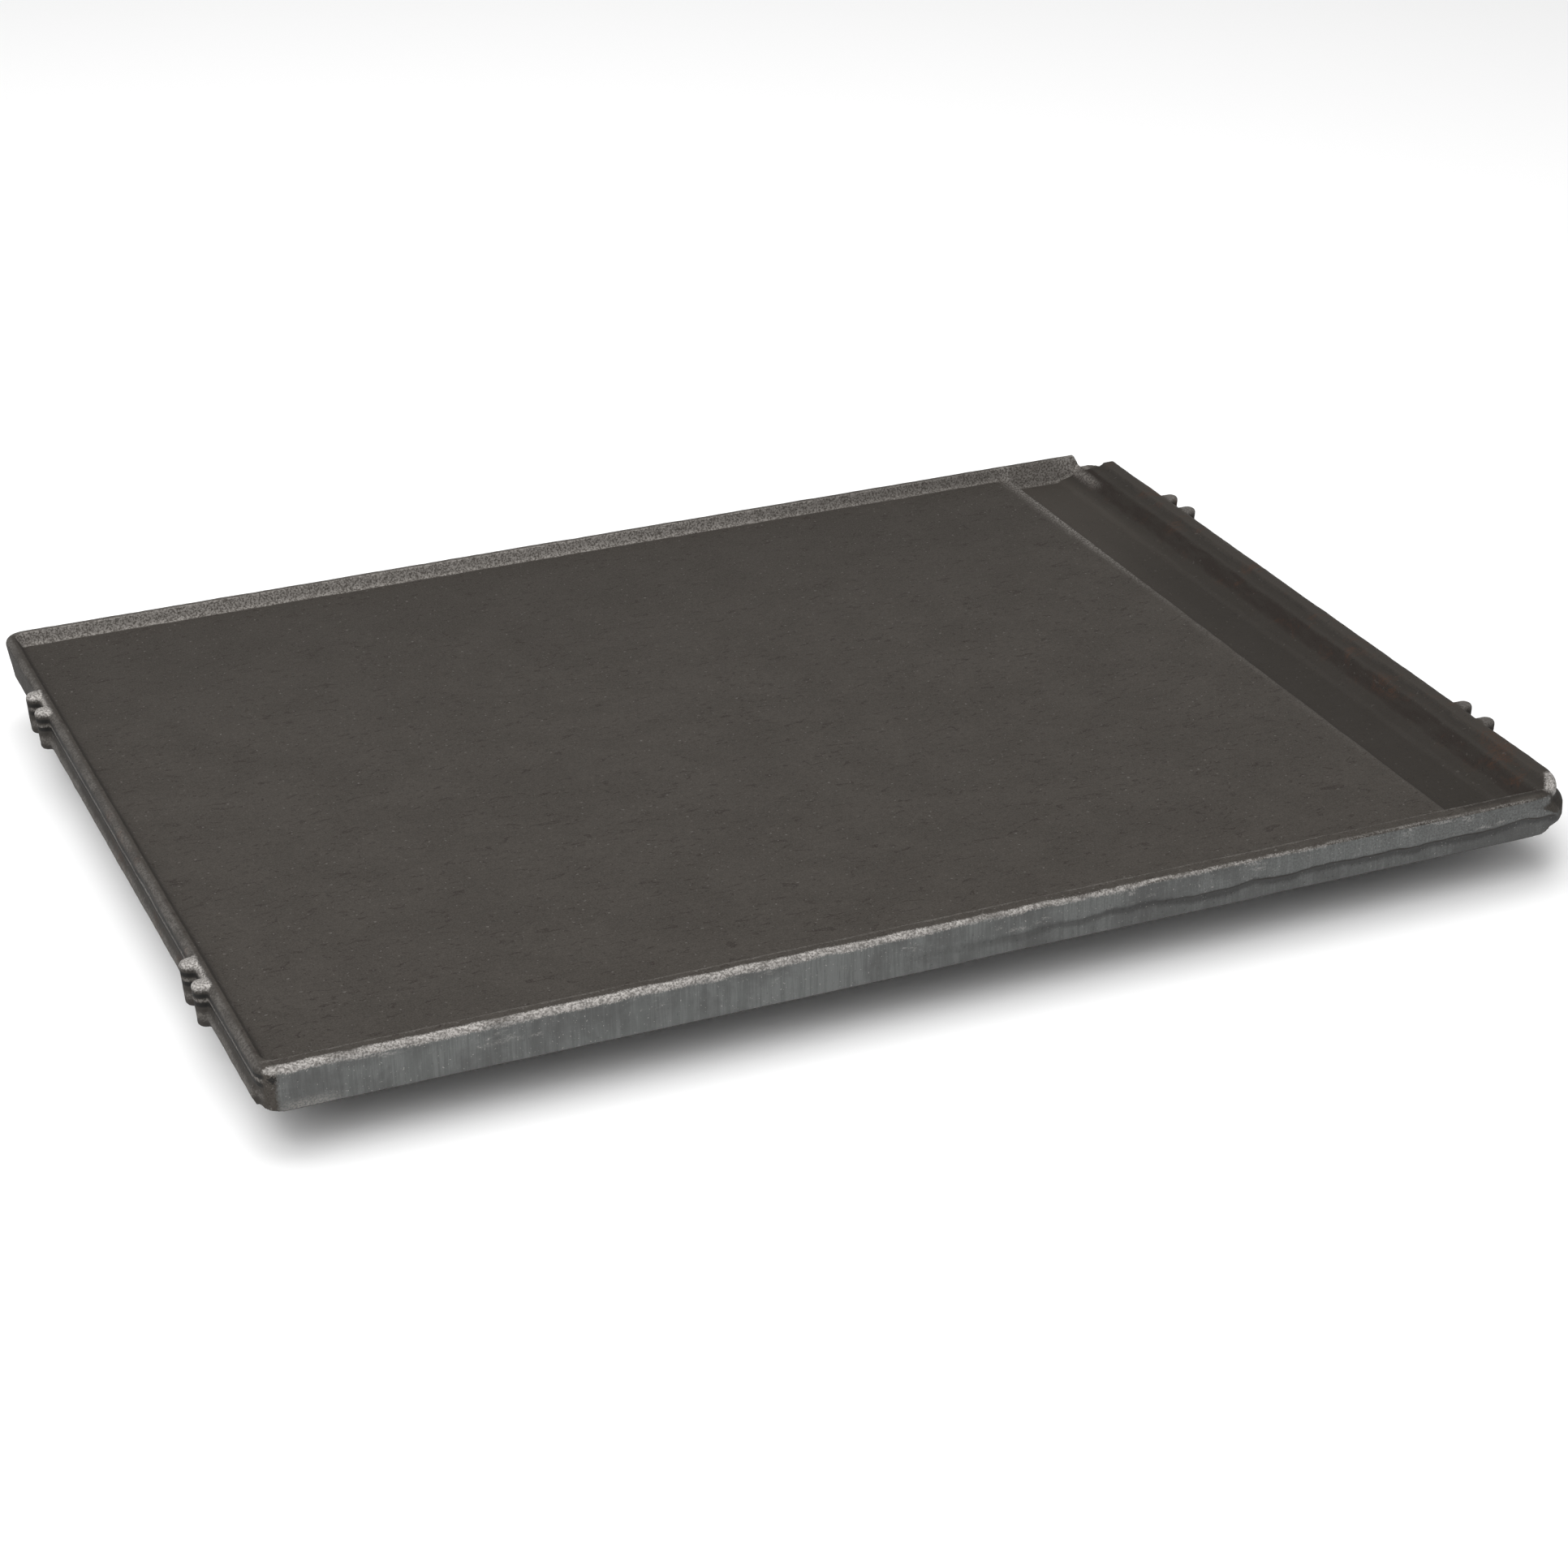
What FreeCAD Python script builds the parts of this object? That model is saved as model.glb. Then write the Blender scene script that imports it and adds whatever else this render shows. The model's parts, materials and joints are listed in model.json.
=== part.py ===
import FreeCAD, Part
import math
import os

# Electric griddle: a one-piece cast-iron cooking plate, and under it a clamped sheathed element,
# insulation, a heat-shield pan, a two-pin inlet for a plug-in control, and four levelling feet.
# Millimetres, +Z up, the front edge at -Y, the grease trough at +X.
# The origin is on the table, under the middle of the plate.

V = FreeCAD.Vector

# ---------------------------------------------------------------- driving dimensions
plate_length = 520.0          # X, over the rim
plate_width = 400.0           # Y, over the rim
wall_height = 17.0            # rim top above the wall's lower edge
table_gap = 21.0              # wall's lower edge above the table, feet at mid travel

rim_radius = 2.4              # rounding of the rim's outer top edge
rim_band = 3.0                # upright part of the outer face, under the rim top
corner_radius = 8.0           # plan radius of three corners
front_right_radius = 23.0     # plan radius of the corner at the trough's front end
draft_left = 2.0              # how far each wall's lower edge stands in from its rim
draft_right = 0.8
draft_back = 2.0
rim_front = 6.8               # rim widths, from outer face to inner top edge
rim_left = 3.8
rim_back = 4.2
wall_slope = 1.8              # how far an inner wall leans in from rim to floor
left_slope = 2.9              # the same at the left-hand wall
inner_radius = 5.0            # plan radius of the pan's inner corners
floor_radius = 3.5            # the same at the cook surface
wall_thickness = 6.5          # of the walls, seen from below
foot_fillet = 2.0             # fillet where wall meets cook surface

cook_depth = 5.3              # cook surface below the rim top
plate_thickness = 6.5         # iron under the cook surface
trough_depth = 4.9            # trough floor below the cook surface
trough_step = 50.0            # cook surface's edge, in from the right-hand rim
step_lean = 1.6               # lean of the step down into the trough
trough_floor_thickness = 4.8
# the trough's wall under the right-hand rim, as steps of (in from the rim, above the trough's floor)
trough_wall = [(25.0, 0.0), (23.2, 0.9), (18.0, 2.0), (16.8, 2.9), (12.2, 7.9), (11.0, 8.1), (7.6, 8.8),
               (6.8, 9.7), (6.3, 10.2)]
# the left-hand wall's bead and flared lower lip, as (in from the rim, above the wall's lower edge)
bead_profile = [(4.0, 12.8), (0.7, 12.8), (-0.1, 11.6), (0.7, 10.2), (0.8, 9.2), (-0.8, 5.2), (-0.7, 3.4),
                (0.8, 0.0), (4.0, 0.0)]
# the right-hand wall's V ridge, as (out from the wall, above the wall's lower edge)
ridge_profile = [(0.0, 1.6), (3.2, 4.4), (3.2, 8.6), (0.0, 12.8)]
ridge_back_end = 30.0         # the ridge stops this far from the back rim

lip_depth = 7.0               # pouring lip below the rim top
lip_along_back = 15.0         # opening in the rim, along the back and along the right
lip_along_right = 17.0
lip_lean = 3.0                # lean of the rim's two ends, from the rim top down to the lip
lip_radius = 2.0

lug_pitch = 16.5              # between the two ribs of a pair
lug_offset = 123.5            # pair's centre from the plate's middle
lug_width = 7.0
lug_reach = 5.0               # beyond the rim
lug_root = 3.2                # how far a lug's top runs in over the rim
lug_proud = 0.5               # above the rim top
lug_rounding = 1.8
lug_draft = 1.4               # how far a lug's lower end stands in from its top
lug_bottom = 0.2              # above the wall's lower edge

relief_height = 8.6           # lower half of the ground front face, set in towards the right
relief_depth = 1.7
relief_length = 330.0
relief_step = 1.2             # drop of the relief's upper edge, from its face to its root
clear_cut = 10.0              # how far a cutting shape runs past the edge that it opens

element_diameter = 6.5
element_bury = 0.1            # element centre below the plate's underside
groove_clearance = 0.2
element_left_margin = 82.0    # outer bends in from the left rim
element_right_margin = 70.0   # and from the trough's step
element_front_margin = 80.0   # first and last rows in from the front and back rims
element_back_margin = 100.0
element_rows = 4
element_bend_radius = 25.0
element_inner_gap = 44.0      # between the two halves, across the middle
element_drop = 8.5            # the tails dip under the back wall
element_drop_run = 12.0

clamp_width = 18.0
clamp_thickness = 3.0
clamp_overhang = 10.0         # bar's ends past the outer rows
clamp_spread = (0.12, 0.37, 0.63, 0.88)   # bar places along a row
stud_diameter = 6.0
stud_bury = 4.0               # threaded into the plate's underside
thread_clearance = 0.15       # radial, threads are drawn as plain cylinders
hole_clearance = 0.5          # radial, in clamp bars and sheet
nut_across_flats = 10.0
nut_height = 5.0
nut_pocket = 2.0              # radial room round each nut in the mat
washer_diameter = 12.5
washer_thickness = 1.2
face_gap = 0.05               # between neighbouring flat faces of one stack

mat_margin = 14.0             # mat beyond the element
mat_thickness = 8.0
mat_corner = 5.0
sheet = 0.8                   # pan and guard sheet
pan_margin = 10.0             # pan wall beyond the mat
pan_corner = 6.0
pan_flange = 12.0
pan_slot_width = 42.0         # in the pan's back wall, for the tails and the sleeve
pan_slot_drop = 5.0           # slot's lower edge below the pins
screw_diameter = 5.0
screw_bury = 4.0
screw_head_height = 2.6
screw_head_diameter = 9.5
screw_head_rounding = 1.2
screw_slot_width = 1.2
screw_slot_depth = 1.1
stud_stickout = 0.8           # clamp stud below its nut
hole_end = 0.3                # room past the end of a stud or screw
clamp_corner = 3.0
pan_screw_inset = 40.0        # from the pan's corners

pin_diameter = 4.8
pin_root_diameter = 4.0       # inside the block
pin_spacing = 25.0
pin_length = 20.0             # standing out of the block
pin_tip_rounding = 1.8
seal_diameter = 8.4
seal_length = 6.0
block_depth = 9.0
block_height = 15.0
sleeve_bore = 6.6
sleeve_wall = 1.0
sleeve_length = 60.0
sleeve_end = 2.0              # thickness of its closed end
sleeve_roof = 1.0             # between the sleeve and the plate's underside
sleeve_boss_depth = 12.0      # cast lug that holds the sleeve's inner end
sleeve_boss_wall = 2.5
guard_width = 58.0
guard_depth = 32.0
guard_foot = 13.0             # screwed flange at each side
guard_floor_drop = 8.5        # guard's floor below the pins
guard_window_side = 7.0       # inner window's edge beyond the pins
guard_window_drop = 6.0       # and below them
back_setback = 1.5            # guard's mouth inside the back rim

foot_inset_left = 28.0        # foot axes in from the left rim and the trough's step
foot_inset_right = 18.0
foot_inset_y = 70.0           # and from the front and back rims
boss_diameter = 18.0
boss_drop = 3.0
foot_stud_diameter = 8.0
foot_stud_chamfer = 0.8
foot_engagement = 4.5         # stud inside the boss at mid travel
foot_travel = 2.0             # up and down from mid travel
foot_bore_end = 0.5
lock_nut_height = 4.0
lock_nut_flats = 13.0
foot_hex_level = 12.0
foot_hex_height = 3.0
foot_neck_diameter = 5.0
foot_ball_diameter = 7.0
foot_ball_level = 5.6
pad_diameter = 24.0
pad_height = 9.0
pad_rounding = 1.5
socket_clearance = 0.25

# ---------------------------------------------------------------- levels worked out from them
half_length = plate_length / 2
half_width = plate_width / 2
wall_bottom = table_gap
rim_top = wall_bottom + wall_height
cook_level = rim_top - cook_depth
plate_under = cook_level - plate_thickness
trough_level = cook_level - trough_depth
trough_under = trough_level - trough_floor_thickness
step_x = half_length - trough_step
element_level = plate_under - element_bury
clamp_top = element_level - element_diameter / 2 - face_gap
clamp_under = clamp_top - clamp_thickness
mat_top = clamp_under - face_gap
mat_under = mat_top - mat_thickness
pan_floor_top = mat_under - face_gap
pan_floor_under = pan_floor_top - sheet


# ---------------------------------------------------------------- helpers
def box(x0, x1, y0, y1, z0, z1):
    return Part.makeBox(x1 - x0, y1 - y0, z1 - z0, V(x0, y0, z0))


def rod(radius, z0, z1, x=0.0, y=0.0):
    return Part.makeCylinder(radius, z1 - z0, V(x, y, z0))


def hexagon(flats, z0, z1, x, y):
    radius = flats / math.sqrt(3)
    turns = [math.radians(60 * i) for i in range(7)]
    corners = [V(x + radius * math.cos(turn), y + radius * math.sin(turn), z0) for turn in turns]
    return Part.Face(Part.makePolygon(corners)).extrude(V(0, 0, z1 - z0))


def outline(x0, x1, y0, y1, z, radii):
    """Closed rectangle in plan; radii are for front-left, front-right, back-right and back-left."""
    front_left, front_right, back_right, back_left = radii
    corners = [(x0, y0, front_left, 180), (x1, y0, front_right, 270),
               (x1, y1, back_right, 0), (x0, y1, back_left, 90)]
    signs = [(1, 1), (-1, 1), (-1, -1), (1, -1)]
    arcs = []
    for (x, y, radius, start), (sx, sy) in zip(corners, signs):
        centre = V(x + sx * radius, y + sy * radius, z)
        points = [centre + V(radius * math.cos(math.radians(start + a)),
                             radius * math.sin(math.radians(start + a)), 0) for a in (0, 45, 90)]
        arcs.append(points)
    edges = []
    for i, points in enumerate(arcs):
        edges.append(Part.Arc(*points).toShape())
        edges.append(Part.LineSegment(points[2], arcs[(i + 1) % 4][0]).toShape())
    return Part.Wire(edges)


def prism(x0, x1, y0, y1, z0, z1, radius):
    return Part.Face(outline(x0, x1, y0, y1, z0, [radius] * 4)).extrude(V(0, 0, z1 - z0))


def along_y(profile, y0, y1):
    """Extrudes a closed list of (x, z) points from y0 to y1."""
    points = [V(x, y0, z) for x, z in profile]
    return Part.Face(Part.makePolygon(points + points[:1])).extrude(V(0, y1 - y0, 0))


def edges_at(solid, z):
    return [e for e in solid.Edges if all(abs(v.Point.z - z) < 1e-4 for v in e.Vertexes)
            and abs(e.CenterOfMass.z - z) < 1e-4]


def join(shapes):
    whole = shapes[0]
    for shape in shapes[1:]:
        whole = whole.fuse(shape)
    return whole.removeSplitter()


def group(shapes):
    return Part.makeCompound(shapes)


def save(name, shape):
    solids = shape.Solids
    assert solids and all(s.isValid() for s in solids), name
    shape.exportStep(f"parts/{name}.step")
    print(f"{name}: {len(solids)} solid(s), {sum(s.Volume for s in solids) / 1000:.2f} cm3")


# ---------------------------------------------------------------- shared positions
row_left = -half_length + element_left_margin
row_right = step_x - element_right_margin
row_front = -half_width + element_front_margin
row_back = half_width - element_back_margin
row_pitch = (row_back - row_front) / (element_rows - 1)
row_y = [row_front + i * row_pitch for i in range(element_rows)]
inlet_x = (row_left + row_right) / 2
tail_xs = [inlet_x - pin_spacing / 2, inlet_x + pin_spacing / 2]
pin_level = element_level - element_drop

mat_x0, mat_x1 = row_left - mat_margin, row_right + mat_margin
mat_y0, mat_y1 = row_front - mat_margin, row_back + mat_margin
pan_x0, pan_x1 = mat_x0 - pan_margin, mat_x1 + pan_margin
pan_y0, pan_y1 = mat_y0 - pan_margin, mat_y1 + pan_margin
flange_top = plate_under - face_gap

guard_y1 = half_width - back_setback
guard_y0 = guard_y1 - guard_depth
block_y0 = guard_y0 + sheet + face_gap
block_y1 = block_y0 + block_depth
tail_end = block_y0 - seal_length
guard_floor = pin_level - guard_floor_drop
sleeve_radius = sleeve_bore / 2 + sleeve_wall
sleeve_level = plate_under - sleeve_radius - sleeve_roof
sleeve_y0 = block_y1 - sleeve_length

foot_xs = (-half_length + foot_inset_left, step_x - foot_inset_right)
foot_ys = (-half_width + foot_inset_y, half_width - foot_inset_y)
foot_places = {"front_left": (foot_xs[0], foot_ys[0]), "front_right": (foot_xs[1], foot_ys[0]),
               "back_left": (foot_xs[0], foot_ys[1]), "back_right": (foot_xs[1], foot_ys[1])}
boss_under = plate_under - boss_drop

clamp_xs = [row_left + share * (row_right - row_left) for share in clamp_spread]
stud_ys = [(row_y[0] + row_y[1]) / 2, (row_y[-2] + row_y[-1]) / 2]
stud_places = [(x, y) for x in clamp_xs for y in stud_ys]
nut_under = clamp_under - washer_thickness - nut_height - 2 * face_gap

pan_screw_places = [(x, y) for x in (pan_x0 - pan_flange / 2, pan_x1 + pan_flange / 2)
                    for y in (pan_y0 + pan_screw_inset, pan_y1 - pan_screw_inset)]
guard_screw_places = [(inlet_x + side * (guard_width + guard_foot) / 2, (guard_y0 + guard_y1) / 2)
                      for side in (-1, 1)]


def rounded_path(points, radius):
    """A wire through the points, with each corner an arc of the given radius, or less on a slight turn."""
    edges, start = [], points[0]
    for before, corner, after in zip(points, points[1:], points[2:]):
        back = (before - corner).normalize()
        ahead = (after - corner).normalize()
        half_angle = back.getAngle(ahead) / 2
        cut = min(radius / math.tan(half_angle), 0.45 * min(before.distanceToPoint(corner),
                                                            after.distanceToPoint(corner)))
        arc_radius = cut * math.tan(half_angle)
        middle = (back + ahead).normalize() * (arc_radius / math.sin(half_angle) - arc_radius)
        first, last = corner + back * cut, corner + ahead * cut
        edges.append(Part.LineSegment(start, first).toShape())
        edges.append(Part.Arc(first, corner + middle, last).toShape())
        start = last
    edges.append(Part.LineSegment(start, points[-1]).toShape())
    return Part.Wire(edges)


def element_points():
    z, low = element_level, pin_level
    half = [(tail_xs[1], tail_end, low), (tail_xs[1], tail_end - element_drop_run, low),
            (tail_xs[1], tail_end - 2 * element_drop_run, z), (tail_xs[1], row_y[3], z),
            (row_right, row_y[3], z), (row_right, row_y[2], z),
            (inlet_x + element_inner_gap / 2, row_y[2], z), (inlet_x + element_inner_gap / 2, row_y[1], z),
            (row_right, row_y[1], z), (row_right, row_y[0], z)]
    other = [(2 * inlet_x - x, y, level) for x, y, level in reversed(half)]
    return [V(*p) for p in half + other]


def tube_along(points, radius):
    path = rounded_path(points, element_bend_radius)
    first = path.Edges[0]
    circle = Part.Circle(first.valueAt(first.FirstParameter), first.tangentAt(first.FirstParameter), radius)
    return path.makePipeShell([Part.Wire(circle.toShape())], True, True)


# ---------------------------------------------------------------- the casting
def outer_block():
    radii = [corner_radius, front_right_radius, corner_radius, corner_radius]
    bottom = outline(-half_length + draft_left, half_length - draft_right,
                     -half_width, half_width - draft_back, wall_bottom, radii)
    shoulder = outline(-half_length, half_length, -half_width, half_width, rim_top - rim_band, radii)
    top = outline(-half_length, half_length, -half_width, half_width, rim_top, radii)
    block = Part.makeLoft([bottom, shoulder, top], True, True)
    return block.makeFillet(rim_radius, edges_at(block, rim_top))


def left_bead():
    """The thin bead and flared lower lip along the left wall, from the back ribs to the front corner."""
    profile = [(-half_length + inward, wall_bottom + rise) for inward, rise in bead_profile]
    return along_y(profile, -half_width + corner_radius, lug_offset + lug_pitch / 2)


def right_ridge():
    """The V ridge round the right-hand wall, which the ground front face cuts off at the corner."""
    wires = []
    for out, rise in ridge_profile:
        radii = [corner_radius, front_right_radius + out, corner_radius + out, corner_radius]
        wires.append(outline(step_x, half_length - draft_right / 2 + out, -half_width - out,
                             half_width - draft_back + out, wall_bottom + rise, radii))
    ridge = Part.makeLoft(wires, True, True)
    return ridge.common(box(step_x + front_right_radius, half_length + clear_cut, -half_width,
                            half_width - ridge_back_end, 0, rim_top))


def lug(side, y):
    """One rounded upright rib, with its top worn over the rim."""
    top, bottom = rim_top + lug_proud, wall_bottom + lug_bottom
    x0, x1 = half_length - lug_root, half_length + lug_reach
    nose = lug_width / 2 - 0.01
    radii = [1.0, nose, nose, 1.0]
    high = outline(x0, x1, y - lug_width / 2, y + lug_width / 2, top, radii)
    low = outline(x0, x1 - lug_draft, y - lug_width / 2, y + lug_width / 2, bottom, radii)
    rib = Part.makeLoft([low, high], True, True)
    rib = rib.makeFillet(lug_rounding, edges_at(rib, top) + edges_at(rib, bottom))
    return rib if side > 0 else rib.mirror(V(0, 0, 0), V(1, 0, 0))


def leaning_pocket(x0, x1, y0, y1, floor, top, radii, leans):
    """A hollow that opens upwards, with its sides at the given lines at rim level; leans are per side."""
    left, right, front, back = leans
    per_mm = [lean / (rim_top - floor) for lean in (left, right, front, back)]
    over = top - rim_top
    high = outline(x0 - per_mm[0] * over, x1 + per_mm[1] * over, y0 - per_mm[2] * over,
                   y1 + per_mm[3] * over, top, [radii[0]] * 4)
    low = outline(x0 + left, x1 - right, y0 + front, y1 - back, floor, [radii[1]] * 4)
    pocket = Part.makeLoft([low, high], True, True)
    return pocket.makeFillet(foot_fillet, edges_at(pocket, floor))


def pan_pocket():
    """The cooking pan's hollow, down to the cook surface."""
    x0, x1 = -half_length + rim_left, half_length - wall_thickness
    y0, y1 = -half_width + rim_front, half_width - rim_back
    pocket = leaning_pocket(x0, x1, y0, y1, cook_level, rim_top + 1, (inner_radius, floor_radius),
                            (left_slope, 0.0, wall_slope, wall_slope))
    return pocket.common(box(-half_length, step_x + 1, -half_width, half_width, 0, rim_top + 5))


def trough_pocket():
    """The trough's hollow: a leaning step, a flat floor, and two ledges up the right-hand wall."""
    right = [(half_length - inward, trough_level + rise) for inward, rise in trough_wall]
    profile = [(step_x, rim_top + 2), (step_x, cook_level), (step_x + step_lean, trough_level)]
    profile += right + [(right[-1][0], rim_top + 2)]
    y0, y1 = -half_width + rim_front, half_width - rim_back
    hollow = along_y(profile, -half_width, half_width)
    lean = wall_slope * (rim_top - trough_level) / cook_depth
    x0, x1 = step_x - trough_step, half_length - rim_left
    envelope = leaning_pocket(x0, x1, y0, y1, trough_level, rim_top + 3, (inner_radius, inner_radius),
                              (0.0, 0.0, lean, lean))
    return hollow.common(envelope)


def pour_lip():
    """The opening in the rim at the trough's back corner, over a low rounded lip."""
    level, top = rim_top - lip_depth, rim_top + 5
    x0, y0 = half_length - lip_along_back, half_width - lip_along_right
    spread = lip_lean * (top - level) / lip_depth
    x1, y1 = half_length + clear_cut, half_width + clear_cut
    radii = [corner_radius / 2] * 4
    low = outline(x0 + lip_lean, x1, y0 + lip_lean, y1, level, radii)
    high = outline(x0 + lip_lean - spread, x1, y0 + lip_lean - spread, y1, top, radii)
    opening = Part.makeLoft([low, high], True, True)
    return opening.makeFillet(lip_radius, edges_at(opening, level))


def underside():
    """The hollow under the plate, shallower under the trough."""
    x0, x1 = -half_length + wall_thickness, half_length - trough_wall[3][0] + wall_thickness
    y0, y1 = -half_width + wall_thickness, half_width - wall_thickness
    turn = step_x - wall_thickness
    main = prism(x0, turn, y0, y1, wall_bottom - 1, plate_under, inner_radius)
    trough = prism(turn - 2 * inner_radius, x1, y0, y1, wall_bottom - 1, trough_under, inner_radius)
    return main.fuse(trough)


def ground_relief():
    """The lower half of the ground front face, a wedge that leans in more towards the right-hand end."""
    x1, low, high = half_length + 1, wall_bottom - 1, wall_bottom + relief_height
    section = [V(x1, -half_width - 1, low), V(x1, -half_width - 1, high + relief_step),
               V(x1, -half_width, high), V(x1, -half_width + relief_depth, high - relief_step),
               V(x1, -half_width + relief_depth, low)]
    wedge = Part.Face(Part.makePolygon(section + section[:1])).extrude(V(-relief_length - clear_cut, 0, 0))
    turn = math.degrees(math.atan2(relief_depth, relief_length))
    wedge.rotate(V(x1, -half_width + relief_depth, low), V(0, 0, 1), turn)
    return wedge.common(box(-half_length, x1, -half_width - 5, 0, 0, rim_top))


def griddle_plate():
    body = outer_block().fuse([left_bead(), right_ridge()])
    body = body.cut([pan_pocket(), trough_pocket(), pour_lip(), underside(), ground_relief()])
    lugs = [lug(side, row + step) for side in (-1, 1) for row in (-lug_offset, lug_offset)
            for step in (-lug_pitch / 2, lug_pitch / 2)]
    bosses = [rod(boss_diameter / 2, boss_under, plate_under + 1, x, y) for x, y in foot_places.values()]
    sleeve_half = sleeve_radius + sleeve_boss_wall
    bosses.append(box(inlet_x - sleeve_half, inlet_x + sleeve_half, sleeve_y0, sleeve_y0 + sleeve_boss_depth,
                      sleeve_level - sleeve_half, plate_under + 1))
    body = body.fuse(lugs + bosses)
    guard_half = guard_width / 2 + guard_foot + 1
    cuts = [tube_along(element_points(), element_diameter / 2 + groove_clearance),
            box(inlet_x - guard_half, inlet_x + guard_half, guard_y0, half_width + 5, wall_bottom - 1,
                plate_under)]
    foot_bore = foot_stud_diameter / 2 + thread_clearance
    foot_bore_top = boss_under + foot_engagement + foot_travel + foot_bore_end
    cuts += [rod(foot_bore, boss_under - 1, foot_bore_top, x, y) for x, y in foot_places.values()]
    stud_hole = stud_diameter / 2 + thread_clearance
    stud_hole_top = plate_under + stud_bury + hole_end
    cuts += [rod(stud_hole, plate_under - 1, stud_hole_top, x, y) for x, y in stud_places]
    screw_hole = screw_diameter / 2 + thread_clearance
    screw_hole_top = plate_under + screw_bury + hole_end
    cuts += [rod(screw_hole, plate_under - 1, screw_hole_top, x, y)
             for x, y in pan_screw_places + guard_screw_places]
    cuts.append(Part.makeCylinder(sleeve_radius + thread_clearance, sleeve_boss_depth + 1,
                                  V(inlet_x, sleeve_y0, sleeve_level), V(0, 1, 0)))
    return body.cut(cuts).removeSplitter()


# ---------------------------------------------------------------- heating
def heating_element():
    return tube_along(element_points(), element_diameter / 2)


def end_seals():
    start, length = tail_end + face_gap / 2, seal_length - face_gap
    return group([Part.makeCylinder(seal_diameter / 2, length, V(x, start, pin_level), V(0, 1, 0))
                  for x in tail_xs])


def contact_pins():
    pins = []
    along, start = V(0, 1, 0), block_y1 + face_gap
    for x in tail_xs:
        free = Part.makeCylinder(pin_diameter / 2, pin_length, V(x, start, pin_level), along)
        tip = [e for e in free.Edges if abs(e.BoundBox.YMin - start - pin_length) < 1e-3]
        free = free.makeFillet(pin_tip_rounding, tip)
        root = Part.makeCylinder(pin_root_diameter / 2, start - block_y0, V(x, block_y0, pin_level), along)
        pins.append(free.fuse(root))
    return group(pins)


def contact_block():
    inside = guard_width / 2 - sheet - face_gap
    top = plate_under - face_gap
    block = box(inlet_x - inside, inlet_x + inside, block_y0, block_y1, top - block_height, top)
    holes = [Part.makeCylinder(pin_root_diameter / 2 + face_gap, block_depth + 2,
                               V(x, block_y0 - 1, pin_level), V(0, 1, 0)) for x in tail_xs]
    holes.append(Part.makeCylinder(sleeve_radius + face_gap, block_depth + 2,
                                   V(inlet_x, block_y0 - 1, sleeve_level), V(0, 1, 0)))
    return block.cut(holes)


def probe_sleeve():
    along = V(0, 1, 0)
    start = V(inlet_x, sleeve_y0 + face_gap, sleeve_level)
    tube = Part.makeCylinder(sleeve_radius, sleeve_length, start, along)
    bore = Part.makeCylinder(sleeve_bore / 2, sleeve_length, start + along * sleeve_end, along)
    return tube.cut(bore)


def inlet_guard():
    """A folded sheet tunnel round the pins, open at the back, with a screwed foot at each side."""
    half = guard_width / 2
    top = plate_under - face_gap
    tunnel = box(inlet_x - half, inlet_x + half, guard_y0, guard_y1, guard_floor, top)
    tunnel = tunnel.cut(box(inlet_x - half + sheet, inlet_x + half - sheet, guard_y0 + sheet, guard_y1 + 1,
                            guard_floor + sheet, top + 1))
    feet = [box(inlet_x - half - guard_foot, inlet_x - half + sheet, guard_y0, guard_y1, top - sheet, top),
            box(inlet_x + half - sheet, inlet_x + half + guard_foot, guard_y0, guard_y1, top - sheet, top)]
    window_half = pin_spacing / 2 + guard_window_side
    window = box(inlet_x - window_half, inlet_x + window_half, guard_y0 - 1, guard_y0 + sheet + 1,
                 pin_level - guard_window_drop, top + 1)
    holes = [rod(screw_diameter / 2 + hole_clearance, top - 2, top + 1, x, y) for x, y in guard_screw_places]
    return tunnel.fuse(feet).removeSplitter().cut([window] + holes)


def screws(places, under):
    """Pan-head screws going up; under is the face that their heads press on."""
    made = []
    head_top = under - face_gap
    head_under = head_top - screw_head_height
    slot_half = screw_slot_width / 2
    for x, y in places:
        shank = rod(screw_diameter / 2, head_top - 0.5, plate_under + screw_bury, x, y)
        head = rod(screw_head_diameter / 2, head_under, head_top, x, y)
        head = head.makeFillet(screw_head_rounding, edges_at(head, head_under))
        slot = box(x - screw_head_diameter / 2, x + screw_head_diameter / 2, y - slot_half, y + slot_half,
                   head_under - 1, head_under + screw_slot_depth)
        made.append(head.fuse(shank).removeSplitter().cut(slot))
    return group(made)


# ---------------------------------------------------------------- clamps, mat and pan
def clamp_bar(x):
    y0, y1 = row_front - clamp_overhang, row_back + clamp_overhang
    bar = prism(x - clamp_width / 2, x + clamp_width / 2, y0, y1, clamp_under, clamp_top, clamp_corner)
    return bar.cut([rod(stud_diameter / 2 + hole_clearance, clamp_under - 1, clamp_top + 1, x, y)
                    for y in stud_ys])


def clamp_studs():
    return group([rod(stud_diameter / 2, nut_under - stud_stickout, plate_under + stud_bury, x, y)
                  for x, y in stud_places])


def clamp_washers():
    top = clamp_under - face_gap
    return group([rod(washer_diameter / 2, top - washer_thickness, top, x, y)
                  .cut(rod(stud_diameter / 2 + thread_clearance, top - 5, top + 1, x, y))
                  for x, y in stud_places])


def clamp_nuts():
    return group([hexagon(nut_across_flats, nut_under, nut_under + nut_height, x, y)
                  .cut(rod(stud_diameter / 2 + face_gap, nut_under - 1, nut_under + 9, x, y))
                  for x, y in stud_places])


def insulation_mat():
    mat = prism(mat_x0, mat_x1, mat_y0, mat_y1, mat_under, mat_top, mat_corner)
    pocket = washer_diameter / 2 + nut_pocket
    return mat.cut([rod(pocket, mat_under - 1, mat_top + 1, x, y) for x, y in stud_places])


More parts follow.
